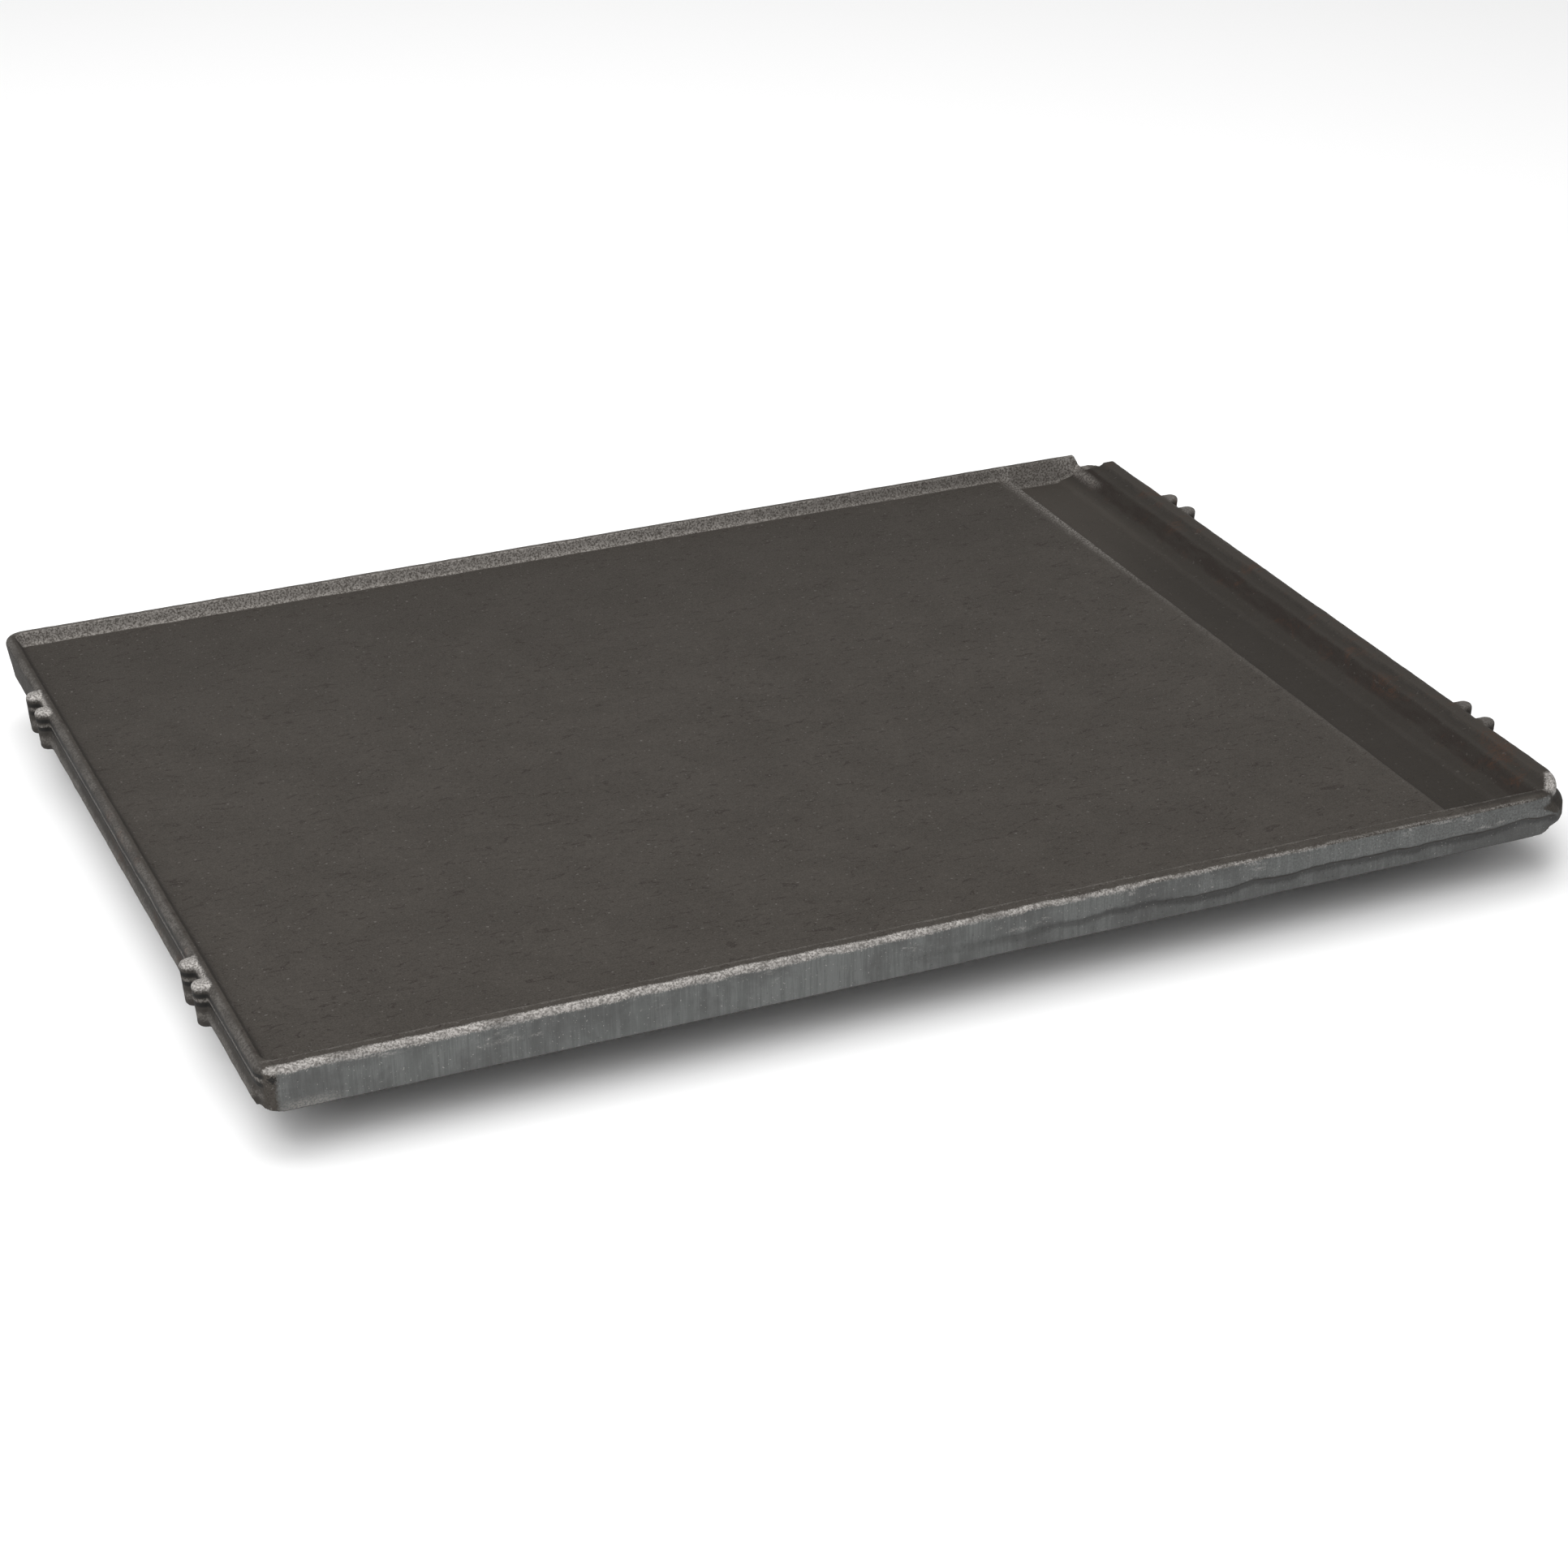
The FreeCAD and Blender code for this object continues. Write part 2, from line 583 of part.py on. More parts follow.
def heat_shield_pan():
    tray = prism(pan_x0, pan_x1, pan_y0, pan_y1, pan_floor_under, flange_top, pan_corner)
    flange = prism(pan_x0 - pan_flange, pan_x1 + pan_flange, pan_y0 - pan_flange, pan_y1 + pan_flange,
                   flange_top - sheet, flange_top, pan_corner + pan_flange)
    hollow = prism(pan_x0 + sheet, pan_x1 - sheet, pan_y0 + sheet, pan_y1 - sheet,
                   pan_floor_top, flange_top + 1, pan_corner - sheet)
    slot_half = pan_slot_width / 2
    slot = box(inlet_x - slot_half, inlet_x + slot_half, pan_y1 - 3, pan_y1 + pan_flange + 1,
               pin_level - pan_slot_drop, flange_top + 1)
    holes = [rod(screw_diameter / 2 + hole_clearance, flange_top - 3, flange_top + 1, x, y)
             for x, y in pan_screw_places]
    return tray.fuse(flange).removeSplitter().cut([hollow, slot] + holes)


# ---------------------------------------------------------------- levelling feet
def foot_stud(x, y):
    top = boss_under + foot_engagement
    shank = rod(foot_stud_diameter / 2, foot_hex_level + foot_hex_height, top, x, y)
    shank = shank.makeChamfer(foot_stud_chamfer, edges_at(shank, top))
    hexed = hexagon(lock_nut_flats, foot_hex_level, foot_hex_level + foot_hex_height, x, y)
    neck = rod(foot_neck_diameter / 2, foot_ball_level, foot_hex_level, x, y)
    ball = Part.makeSphere(foot_ball_diameter / 2, V(x, y, foot_ball_level))
    return join([shank, hexed, neck, ball])


def foot_pad(x, y):
    pad = rod(pad_diameter / 2, 0, pad_height, x, y)
    pad = pad.makeFillet(pad_rounding, edges_at(pad, pad_height))
    socket = Part.makeSphere(foot_ball_diameter / 2 + socket_clearance, V(x, y, foot_ball_level))
    mouth = rod(foot_neck_diameter / 2 + socket_clearance, foot_ball_level, pad_height + 1, x, y)
    return pad.cut(socket.fuse(mouth))


def foot_lock_nuts():
    top = boss_under - face_gap
    bore = foot_stud_diameter / 2 + thread_clearance
    return group([hexagon(lock_nut_flats, top - lock_nut_height, top, x, y)
                  .cut(rod(bore, top - 9, top + 1, x, y)) for x, y in foot_places.values()])


# ---------------------------------------------------------------- write every node
os.makedirs("parts", exist_ok=True)
save("griddle_plate", griddle_plate())
save("heating_element", heating_element())
save("end_seals", end_seals())
save("contact_pins", contact_pins())
save("contact_block", contact_block())
save("probe_sleeve", probe_sleeve())
save("inlet_guard", inlet_guard())
save("inlet_guard_screws", screws(guard_screw_places, plate_under - face_gap - sheet))
for number, bar_x in enumerate(clamp_xs, 1):
    save(f"clamp_bar_{number}", clamp_bar(bar_x))
save("clamp_studs", clamp_studs())
save("clamp_washers", clamp_washers())
save("clamp_nuts", clamp_nuts())
save("insulation_mat", insulation_mat())
save("heat_shield_pan", heat_shield_pan())
save("pan_screws", screws(pan_screw_places, flange_top - sheet))
save("foot_lock_nuts", foot_lock_nuts())
for place, (foot_x, foot_y) in foot_places.items():
    save(f"foot_stud_{place}", foot_stud(foot_x, foot_y))
    save(f"foot_pad_{place}", foot_pad(foot_x, foot_y))
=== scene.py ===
import json
import math

import bmesh
import bpy
from mathutils import Matrix, Vector


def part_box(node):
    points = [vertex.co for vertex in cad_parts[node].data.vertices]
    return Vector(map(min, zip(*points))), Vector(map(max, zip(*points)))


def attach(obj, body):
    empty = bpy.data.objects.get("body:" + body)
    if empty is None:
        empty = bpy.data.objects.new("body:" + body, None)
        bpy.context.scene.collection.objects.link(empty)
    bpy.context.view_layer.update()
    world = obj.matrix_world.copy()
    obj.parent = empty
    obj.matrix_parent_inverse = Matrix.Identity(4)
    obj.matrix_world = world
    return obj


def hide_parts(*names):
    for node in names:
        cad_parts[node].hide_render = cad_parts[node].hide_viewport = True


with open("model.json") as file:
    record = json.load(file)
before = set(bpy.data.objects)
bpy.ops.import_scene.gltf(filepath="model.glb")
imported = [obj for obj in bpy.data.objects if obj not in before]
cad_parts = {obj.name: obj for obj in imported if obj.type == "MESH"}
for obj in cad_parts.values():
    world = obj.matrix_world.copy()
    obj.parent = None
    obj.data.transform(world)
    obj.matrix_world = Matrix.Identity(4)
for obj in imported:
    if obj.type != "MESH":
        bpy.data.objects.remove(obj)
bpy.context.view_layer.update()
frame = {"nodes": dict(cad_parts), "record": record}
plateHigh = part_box("griddle_plate")[1]

# places on the casting that more than one finish needs, in metres
plate = {
    "halfLength": 0.260,      # over the rim, without the ribs
    "halfWidth": plateHigh.y,
    "rimTop": 0.038,
    "cookLevel": 0.0327,
    "troughLevel": 0.0278,
    "stepX": 0.210,           # edge of the cook surface, above the trough
    "underLevel": 0.0262,
    "ribCentre": 0.1235,      # middle of a pair of ribs, from the plate's middle
    "ribPairHalf": 0.0125,
}
print("frame loaded:", len(frame["nodes"]), "nodes")


# ---- the casting
casting = {
    "voxel": 0.00062,
    "waveDepth": 0.00028, "waveScale": 60.0,       # slow waves that a hand-rammed mould leaves
    "lumpDepth": 0.00009, "lumpScale": 300.0,      # lumps about as wide as a grain cluster
    "groundLine": 0.0290, "groundWave": 0.0120,    # height of the ground face's shadow line, and its wander
    "groundRate": 24.0, "lineNoise": (3.0, 0.6), "lineReach": 0.0016, "lineSoft": 0.0030,
    "levelTurn": (0.90, 0.985), "levelBelow": (0.0012, 0.0022),     # level faces keep their flatness
    "frontDepth": (0.0030, 0.0018), "frontTurn": (-0.3, -0.8), "frontFreedom": 0.35,
    "roofStep": (0.004, 0.002), "roofSkin": (0.0007, 0.0006), "roofSoft": (0.0002, -0.0002),
    "fittedIn": (0.0035, 0.0050),                  # the hollow under the plate, in from the outer faces
    "relaxing": 0.5, "creaseWeight": 80,
    "triangles": 195000,
}


# ---- small helpers for node trees
def addNode(tree, kind, inputs=None, **settings):
    made = tree.nodes.new(kind)
    for name, value in settings.items():
        setattr(made, name, value)
    for key, value in (inputs or {}).items():
        if isinstance(value, bpy.types.NodeSocket):
            tree.links.new(value, made.inputs[key])
        else:
            made.inputs[key].default_value = value
    return made


def calc(tree, operation, first, second=None, third=None):
    values = {i: v for i, v in enumerate((first, second, third)) if v is not None}
    return addNode(tree, "ShaderNodeMath", values, operation=operation).outputs[0]


def fade(tree, value, low, high, toLow=0.0, toHigh=1.0):
    inputs = {"Value": value, "From Min": low, "From Max": high, "To Min": toLow, "To Max": toHigh}
    return addNode(tree, "ShaderNodeMapRange", inputs, interpolation_type="SMOOTHSTEP").outputs[0]


def band(tree, value, low, high, soft):
    rise = fade(tree, value, low - soft, low + soft)
    fall = fade(tree, value, high - soft, high + soft, 1.0, 0.0)
    return calc(tree, "MULTIPLY", rise, fall)


def allOf(tree, *masks):
    total = masks[0]
    for mask in masks[1:]:
        total = calc(tree, "MULTIPLY", total, mask)
    return total


def mixColour(tree, mask, below, above):
    inputs = {0: mask, 6: below, 7: above}
    return addNode(tree, "ShaderNodeMix", inputs, data_type="RGBA").outputs[2]


def mixValue(tree, mask, below, above):
    return addNode(tree, "ShaderNodeMix", {0: mask, 2: below, 3: above}, data_type="FLOAT").outputs[0]


def layer(tree, under, over, *masks):
    return mixColour(tree, allOf(tree, *masks), under, over)


def noiseAt(tree, vector, scale, detail=3.0, roughness=0.55, distortion=0.0):
    inputs = {"Vector": vector, "Scale": scale, "Detail": detail, "Roughness": roughness,
              "Distortion": distortion}
    return addNode(tree, "ShaderNodeTexNoise", inputs).outputs["Fac"]


def stretched(tree, vector, scale):
    return addNode(tree, "ShaderNodeMapping", {"Vector": vector, "Scale": scale}).outputs[0]


def grey(value, warm=0.0):
    return (value * (1 + warm), value, value * (1 - warm), 1.0)


def newGroup(name, inputs, outputs, kind="ShaderNodeTree"):
    group = bpy.data.node_groups.new(name, kind)
    for label, socket, value in inputs:
        made = group.interface.new_socket(label, in_out="INPUT", socket_type=socket)
        if value is not None:
            made.default_value = value
    for label, socket in outputs:
        group.interface.new_socket(label, in_out="OUTPUT", socket_type=socket)
    return group, group.nodes.new("NodeGroupInput").outputs, group.nodes.new("NodeGroupOutput").inputs


def useGroup(tree, group, inputs=None):
    made = tree.nodes.new("ShaderNodeGroup")
    made.node_tree = group
    for key, value in (inputs or {}).items():
        if isinstance(value, bpy.types.NodeSocket):
            tree.links.new(value, made.inputs[key])
        else:
            made.inputs[key].default_value = value
    return made.outputs


def newMaterial(name):
    material = bpy.data.materials.new(name)
    material.use_nodes = True
    tree = material.node_tree
    shader = next(n for n in tree.nodes if n.type == "BSDF_PRINCIPLED")
    return material, tree, shader


def plug(tree, shader, **sockets):
    for name, value in sockets.items():
        label = name.replace("_", " ")
        if isinstance(value, bpy.types.NodeSocket):
            tree.links.new(value, shader.inputs[label])
        else:
            shader.inputs[label].default_value = value


def bumpFrom(tree, height, distance, strength=1.0):
    inputs = {"Height": height, "Distance": distance, "Strength": strength}
    return addNode(tree, "ShaderNodeBump", inputs).outputs[0]


# ---- effects shared by several finishes
def buildSandGrain():
    # the skin that a sand mould leaves: rounded grains, a few open pits, and painted glints, light specks on
    # the grain tops
    group, given, out = newGroup(
        "sandGrain",
        [("Grain Scale", "NodeSocketFloat", 900.0), ("Pit Amount", "NodeSocketFloat", 0.3)],
        [("Height", "NodeSocketFloat"), ("Grains", "NodeSocketFloat"), ("Specks", "NodeSocketFloat"),
         ("Mottle", "NodeSocketFloat"), ("Pits", "NodeSocketFloat")])
    place = addNode(group, "ShaderNodeTexCoord").outputs["Object"]
    grains = noiseAt(group, place, given["Grain Scale"], 4.0, 0.6)
    lumps = noiseAt(group, place, calc(group, "MULTIPLY", given["Grain Scale"], 0.22), 3.0, 0.5)
    mottle = noiseAt(group, place, 38.0, 6.0, 0.66, 0.3)
    pitField = noiseAt(group, place, calc(group, "MULTIPLY", given["Grain Scale"], 0.45), 2.0, 0.4)
    pits = calc(group, "MULTIPLY", fade(group, pitField, 0.66, 0.76), given["Pit Amount"])
    height = calc(group, "ADD", calc(group, "MULTIPLY", grains, 0.6), calc(group, "MULTIPLY", lumps, 0.55))
    sparkle = noiseAt(group, place, calc(group, "MULTIPLY", given["Grain Scale"], 1.15), 1.0, 0.4)
    group.links.new(calc(group, "SUBTRACT", height, pits), out["Height"])
    group.links.new(fade(group, grains, 0.36, 0.64), out["Grains"])
    group.links.new(fade(group, sparkle, 0.72, 0.78), out["Specks"])
    group.links.new(mottle, out["Mottle"])
    group.links.new(pits, out["Pits"])
    return group


def buildToolMarks():
    # straight marks of a grinder, a roller or a brush; the stretch runs them along one axis
    group, given, out = newGroup(
        "toolMarks",
        [("Stretch", "NodeSocketVector", (1.0, 1.0, 1.0)), ("Scale", "NodeSocketFloat", 600.0)],
        [("Height", "NodeSocketFloat"), ("Streaks", "NodeSocketFloat")])
    place = addNode(group, "ShaderNodeTexCoord").outputs["Object"]
    along = addNode(group, "ShaderNodeVectorMath", {0: place, 1: given["Stretch"]}, operation="MULTIPLY")
    fine = noiseAt(group, along.outputs[0], given["Scale"], 3.0, 0.65)
    broad = noiseAt(group, along.outputs[0], calc(group, "MULTIPLY", given["Scale"], 0.23), 2.0, 0.5)
    both = calc(group, "ADD", calc(group, "MULTIPLY", fine, 0.6), calc(group, "MULTIPLY", broad, 0.4))
    group.links.new(both, out["Height"])
    group.links.new(fade(group, both, 0.40, 0.62), out["Streaks"])
    return group


sandGrain = buildSandGrain()
toolMarks = buildToolMarks()


# ---- finishes
# where each mark of the casting rises or lies: (from, to), (from, to, softness), or
# (from, to, value before, value after), in metres; castMasks says what each is measured from
zone = {
    # ground front face and its upper edge
    "groundTurn": (-0.70, -0.90), "groundDepth": (0.0040, 0.0026), "groundCorner": (0.0055, 0.0080),
    "narrowing": (-0.12, 0.18, 0.0, 0.0014), "frontEdge": (-0.0010, 0.0026, 0.0005),
    "frontEdgeDown": (0.0027, 0.0016), "frontEdgeShare": (-0.05, 0.24, 1.0, 0.62),
    "innerEdge": (0.0058, 0.0072, 0.0004), "innerEdgeDown": (0.0016, 0.0006),
    "lowLeftPatch": (0.008, 0.026, 0.006), "lowLeftPatchUp": (0.0262, 0.0225),
    "gapsAlong": (-0.1, 0.26, 0.05, 0.45), "scuffsUp": (0.0285, 0.0310),
    "scuffsAlong": (0.0, 0.26, 0.5, 0.85),
    "shadow": (-0.0030, 0.0001, 0.0010), "shadowAlong": (-0.05, 0.10, 0.0, 0.75),
    "grainsUp": (0.0285, 0.0305), "grainsAlong": (0.04, 0.23, 0.0, 0.40),
    "lowerHalf": (0.0012, -0.0012), "lowerAlong": (-0.08, 0.12, 0.0, 0.30),
    # back rim and pouring lip
    "backBand": (0.0104, 0.0074), "backBandTurn": (-0.10, -0.50),
    "backTop": (0.0056, 0.0040), "backTopTurn": (0.5, 0.8),
    "backEnd": (0.0012, 0.0088, 0.0006), "backEndAcross": (0.0125, 0.0240, 0.003),
    "backEndDown": (0.007, 0.004), "backShare": (0.0, 0.20, 0.92, 0.55),
    "towardsBack": (0.02, 0.19, 0.0, 0.35),
    "lipAcross": (0.0070, 0.0168, 0.0015), "lipBack": (0.036, 0.020), "lipUp": (0.0345, 0.0325),
    # ribs and the knob at the trough's front corner
    "ribEnds": (0.0020, 0.0006), "ribDown": (0.0018, 0.0002), "ribShare": (0.0, 0.1, 1.0, 0.20),
    "knobArc": (0.0182, 0.0196), "knobDown": (0.0036, 0.0020), "knobAcross": (0.014, 0.011),
    "knobFront": (0.0045, 0.0180, 0.0014),
    # left wall: edge, groove, bead, groove, flared lip; painted highlights on the edge, bead and lip,
    # painted shade in the grooves
    "leftWall": (0.0030, 0.0016), "leftMoulded": (0.134, 0.128), "leftRimDown": (0.0022, 0.0012),
    "leftBead": (0.0321, 0.0332, 0.0003), "leftGrooveHigh": (0.0336, 0.0352, 0.0004),
    "leftGrooveLow": (0.0300, 0.0317, 0.0004), "leftLip": (0.0246, 0.0274, 0.0010),
    "sideCast": (0.0030, 0.0016), "leftRust": (0.003, 0.001), "leftRustAlong": (-0.11, 0.02, 0.03),
    # trough and the edge that stands over it
    "troughPast": (0.0002, 0.0010), "troughSide": (0.002, 0.005), "steep": (0.0128, 0.0176, 0.0006),
    "rimRight": (0.0084, 0.0070), "rimRightDown": (0.003, 0.001),
    "besideStep": (0.016, 0.002), "besideStepShare": (-0.05, 0.15, 0.15, 1.0),
    "stepEdge": (-0.0050, -0.0004), "stepPast": (0.0012, 0.0004), "stepDown": (0.0012, 0.0004),
    "stepShare": (-0.16, 0.10, 0.30, 1.0), "wedgeAlong": (0.02, 0.15),
    "wedgeStart": (0.02, 0.15, -0.0020, -0.0075), "wedgeEnd": -0.0010,
    "ledgeInner": (0.0228, 0.0246, 0.0005), "ledgeOuter": (0.0106, 0.0124, 0.0005),
    "troughBack": (0.018, 0.024), "troughBackShare": (0.04, 0.17, 0.0, 0.6),
    "rimOuter": (0.0030, 0.0014), "rimOuterDown": (0.0025, 0.0010),
    "rimOuterShare": (-0.10, 0.12, 0.35, 1.0),
    "rimLine": (0.0068, 0.0082, 0.0004), "troughRust": (0.022, 0.014),
    # dark chip at the front left corner, and the underside
    "chip": (0.0020, 0.0011), "belowTurn": (-0.3, -0.6), "belowUp": (0.030, 0.0285),
    "insideUp": (0.001, 0.0), "insideSide": (0.0035, 0.0050),
}
# noise fields as scale, detail, roughness and distortion, and the fade that turns each into a mask
field = {
    "slow": (70.0, 4.0, 0.6), "quick": (1500.0, 2.0, 0.6), "patches": (55.0, 4.0, 0.6),
    "fineMottle": (430.0, 4.0, 0.75), "dashes": (340.0, 2.0, 0.6, 1.5), "steepMarks": (260.0, 4.0, 0.6),
    "rust": (62.0, 5.0, 0.66, 0.5), "specks": (640.0, 1.0, 0.4), "scuffs": (120.0, 4.0, 0.7),
}
spread = {
    "slow": (0.3, 0.7, -0.0005, 0.0005), "quick": (0.3, 0.7, -0.0004, 0.0004),
    "patches": (0.34, 0.56, 0.45, 1.0), "fineMottle": (0.36, 0.64), "dashes": (0.60, 0.66),
    "steepMarks": (0.35, 0.6, 0.2, 0.62), "rust": (0.52, 0.68), "specks": (0.715, 0.755),
    "scuffs": (0.56, 0.66), "oil": (0.30, 0.70), "oilShare": (0.0, 1.0, 0.3, 0.9),
    "skinGrains": (0.0, 1.0, 0.0, 0.18), "rustGrains": (0.0, 1.0, 0.1, 0.55),
    "stepGrains": (0.2, 0.9, 0.10, 0.85), "wedgeGrains": (0.3, 0.9, 0.03, 0.45),
    "edgeGrains": (0.1, 0.9, 0.3, 1.0), "backGrains": (0.0, 1.0, 0.1, 0.35),
    "streaks": (0.0, 1.0, 0.1, 0.7), "groundMottle": (0.40, 0.64, 0.0, 0.60), "gaps": (0.0, 1.0, 1.0, 0.0),
}
alongWall, alongFront, alongDashes = (1.0, 0.25, 1.0), (0.3, 1.0, 1.0), (0.45, 1.0, 1.0)
arcCentreIn = 0.023                         # the trough corner's arc, in from both faces
chipIn = (0.0052, 0.0016, 0.0044)           # the chip, from the left end, the front and the rim
skin = {
    "dry": 0.82, "oiled": 0.72, "bare": 0.55, "metallic": 0.35, "specular": 0.16,
    "sandHeight": 1.6, "bumpDistance": 0.00016, "bumpStrength": 0.9, "chipWander": 1.6, "ribSoft": 0.0006,
}


def spreadOf(tree, value, name):
    return fade(tree, value, *spread[name])


def patchy(tree, place, name):
    return spreadOf(tree, noiseAt(tree, place, *field[name]), name)


def castMasks(tree, place, normal):
    # one mask for each region of the casting that has its own tone
    x, y, z = addNode(tree, "ShaderNodeSeparateXYZ", {0: place}).outputs
    turned = addNode(tree, "ShaderNodeSeparateXYZ", {0: normal}).outputs
    half, wide, rim = plate["halfLength"], plate["halfWidth"], plate["rimTop"]

    def rise(value, name):
        return fade(tree, value, *zone[name])

    def lies(value, name):
        return band(tree, value, *zone[name])

    def less(first, second):
        return calc(tree, "SUBTRACT", first, second)

    def more(first, second):
        return calc(tree, "ADD", first, second)

    slow = patchy(tree, place, "slow")
    quick = patchy(tree, place, "quick")
    wander = more(slow, quick)
    zWandered = more(z, wander)
    front, back = more(y, wide), less(wide, y)
    left, right = more(x, half), less(half, x)
    frontWandered, backWandered = more(front, wander), less(back, wander)
    rightWandered = less(right, wander)
    end, side = less(half, calc(tree, "ABSOLUTE", x)), less(wide, calc(tree, "ABSOLUTE", y))
    down, downWandered = less(rim, z), less(rim, zWandered)
    past = less(x, plate["stepX"])
    pastWandered = more(past, wander)
    patches = patchy(tree, place, "patches")

    masks = {"x": x, "y": y, "z": z, "slow": slow, "patches": patches, "zWandered": zWandered}
    masks["groundFace"] = allOf(tree, rise(turned[1], "groundTurn"), rise(front, "groundDepth"),
                                rise(more(left, wander), "groundCorner"))
    narrowing = rise(x, "narrowing")
    # painted highlight along the front wall's top edge, where the rounded rim faces the light; the edge is
    # also ground bare
    masks["frontEdge"] = allOf(tree, lies(more(frontWandered, narrowing), "frontEdge"),
                               rise(more(downWandered, narrowing), "frontEdgeDown"),
                               rise(x, "frontEdgeShare"), patches)
    masks["innerEdge"] = allOf(tree, lies(frontWandered, "innerEdge"), rise(down, "innerEdgeDown"))
    masks["lowLeftPatch"] = allOf(tree, lies(left, "lowLeftPatch"), rise(z, "lowLeftPatchUp"))

    masks["backShare"] = rise(x, "backShare")
    masks["backBand"] = allOf(tree, rise(backWandered, "backBand"), rise(turned[1], "backBandTurn"))
    # painted highlight on the up-facing top of the back rim
    masks["backTop"] = allOf(tree, rise(back, "backTop"), rise(turned[2], "backTopTurn"))
    masks["backEnd"] = allOf(tree, lies(back, "backEnd"), lies(right, "backEndAcross"),
                             rise(down, "backEndDown"))
    masks["lip"] = allOf(tree, lies(rightWandered, "lipAcross"), rise(backWandered, "lipBack"),
                         rise(z, "lipUp"))

    nearRibs = band(tree, calc(tree, "ABSOLUTE", y), plate["ribCentre"] - plate["ribPairHalf"],
                    plate["ribCentre"] + plate["ribPairHalf"], skin["ribSoft"])
    # painted highlights on the rib tops, which are also rubbed bare
    masks["ribTops"] = allOf(tree, nearRibs, rise(less(end, wander), "ribEnds"),
                             rise(downWandered, "ribDown"), rise(x, "ribShare"))
    # painted highlight on the knob at the trough's front corner
    fromArc = addNode(tree, "ShaderNodeVectorMath",
                      {0: place, 1: (half - arcCentreIn, arcCentreIn - wide, rim)},
                      operation="DISTANCE").outputs["Value"]
    masks["cornerKnob"] = allOf(tree, rise(more(fromArc, wander), "knobArc"), rise(downWandered, "knobDown"),
                                rise(right, "knobAcross"), lies(frontWandered, "knobFront"))

    leftWall = rise(left, "leftWall")
    leftMoulded = allOf(tree, leftWall, rise(y, "leftMoulded"))
    masks["leftRim"] = allOf(tree, leftWall, rise(downWandered, "leftRimDown"))
    masks["leftBead"] = allOf(tree, leftMoulded, lies(zWandered, "leftBead"))
    # painted shade in the grooves above and below the bead
    masks["leftGrooves"] = allOf(tree, leftMoulded,
                                 more(lies(z, "leftGrooveHigh"), lies(z, "leftGrooveLow")))
    masks["leftLip"] = allOf(tree, leftMoulded, lies(zWandered, "leftLip"))
    masks["sideCast"] = rise(end, "sideCast")

    inTrough = allOf(tree, rise(past, "troughPast"), rise(side, "troughSide"))
    masks["inTrough"] = inTrough
    masks["steep"] = allOf(tree, inTrough, lies(rightWandered, "steep"))
    masks["rimRight"] = allOf(tree, rise(rightWandered, "rimRight"), rise(down, "rimRightDown"))
    masks["besideStep"] = allOf(tree, inTrough, rise(past, "besideStep"), rise(y, "besideStepShare"))
    onStep = allOf(tree, rise(past, "stepPast"), rise(less(plate["cookLevel"], z), "stepDown"))
    # painted highlight along the cook surface's edge over the trough
    masks["stepEdge"] = allOf(tree, onStep, rise(pastWandered, "stepEdge"), rise(y, "stepShare"), patches)
    masks["stepWedge"] = allOf(tree, onStep, rise(y, "wedgeAlong"),
                               fade(tree, pastWandered, rise(y, "wedgeStart"), zone["wedgeEnd"]))
    # painted highlights on the ledges of the trough's right wall
    masks["ledgeLines"] = allOf(tree, inTrough, more(lies(rightWandered, "ledgeInner"),
                                                     lies(rightWandered, "ledgeOuter")))
    masks["troughBack"] = allOf(tree, inTrough, rise(right, "troughBack"), rise(y, "troughBackShare"))
    # painted highlight on the outer edge of the right rim
    masks["rimOuter"] = allOf(tree, rise(rightWandered, "rimOuter"), rise(down, "rimOuterDown"),
                              rise(y, "rimOuterShare"))
    # painted shade: a dark line in the groove between the right wall's facets
    masks["rimLine"] = allOf(tree, inTrough, lies(rightWandered, "rimLine"))
    masks["rustPlace"] = calc(tree, "MAXIMUM", allOf(tree, inTrough, rise(right, "troughRust")),
                              allOf(tree, rise(left, "leftRust"), lies(y, "leftRustAlong")))

    chipCentre = (chipIn[0] - half, chipIn[1] - wide, rim - chipIn[2])
    fromChip = addNode(tree, "ShaderNodeVectorMath", {0: place, 1: chipCentre},
                       operation="DISTANCE").outputs["Value"]
    masks["chip"] = rise(more(fromChip, calc(tree, "MULTIPLY", quick, skin["chipWander"])), "chip")
    below = allOf(tree, rise(turned[2], "belowTurn"), rise(z, "belowUp"))
    insideWall = allOf(tree, rise(less(z, plate["underLevel"]), "insideUp"), rise(end, "insideSide"),
                       rise(side, "insideSide"))
    masks["underside"] = calc(tree, "MAXIMUM", below, insideWall)
    return masks


ironTones = {
    "seasoned": grey(0.040, 0.15), "seasonedDeep": grey(0.032, 0.15), "trough": grey(0.020, 0.16),
    "darkBrown": (0.018, 0.013, 0.011, 1.0), "rim": grey(0.036, 0.14),
    "ground": (0.100, 0.104, 0.101, 1.0), "groundLight": (0.150, 0.154, 0.151, 1.0),
    "groundDark": grey(0.062, 0.02), "groundShade": grey(0.030, 0.02),
    "sandy": grey(0.060, 0.12), "sandyLight": grey(0.24, 0.07),
    "worn": grey(0.135, 0.07), "wornLight": grey(0.40, 0.05), "rust": (0.060, 0.028, 0.016, 1.0),
    "under": grey(0.035, 0.08), "speck": grey(0.095, 0.08), "pit": grey(0.008),
    "roughCast": grey(0.030, 0.10),
}
# how strongly each layer covers the one under it
share = {
    "fineMottle": 0.38, "dashes": 0.65, "sideCast": 0.8, "trough": 0.85, "besideStep": 0.55,
    "rimRight": 0.7, "rimOuter": 0.34, "ledgeLines": 0.04, "rimLine": 0.25, "specks": 0.8,
    "troughSpecks": 0.25, "grooves": 0.8,
    "leftRim": 0.26, "leftBead": 0.45, "innerEdge": 0.22, "leftLip": 0.30, "lip": 0.50, "backEnd": 0.7,
    "groundSpecks": 0.5, "lowLeftPatch": 0.6, "chip": 0.85, "pits": 0.6,
}


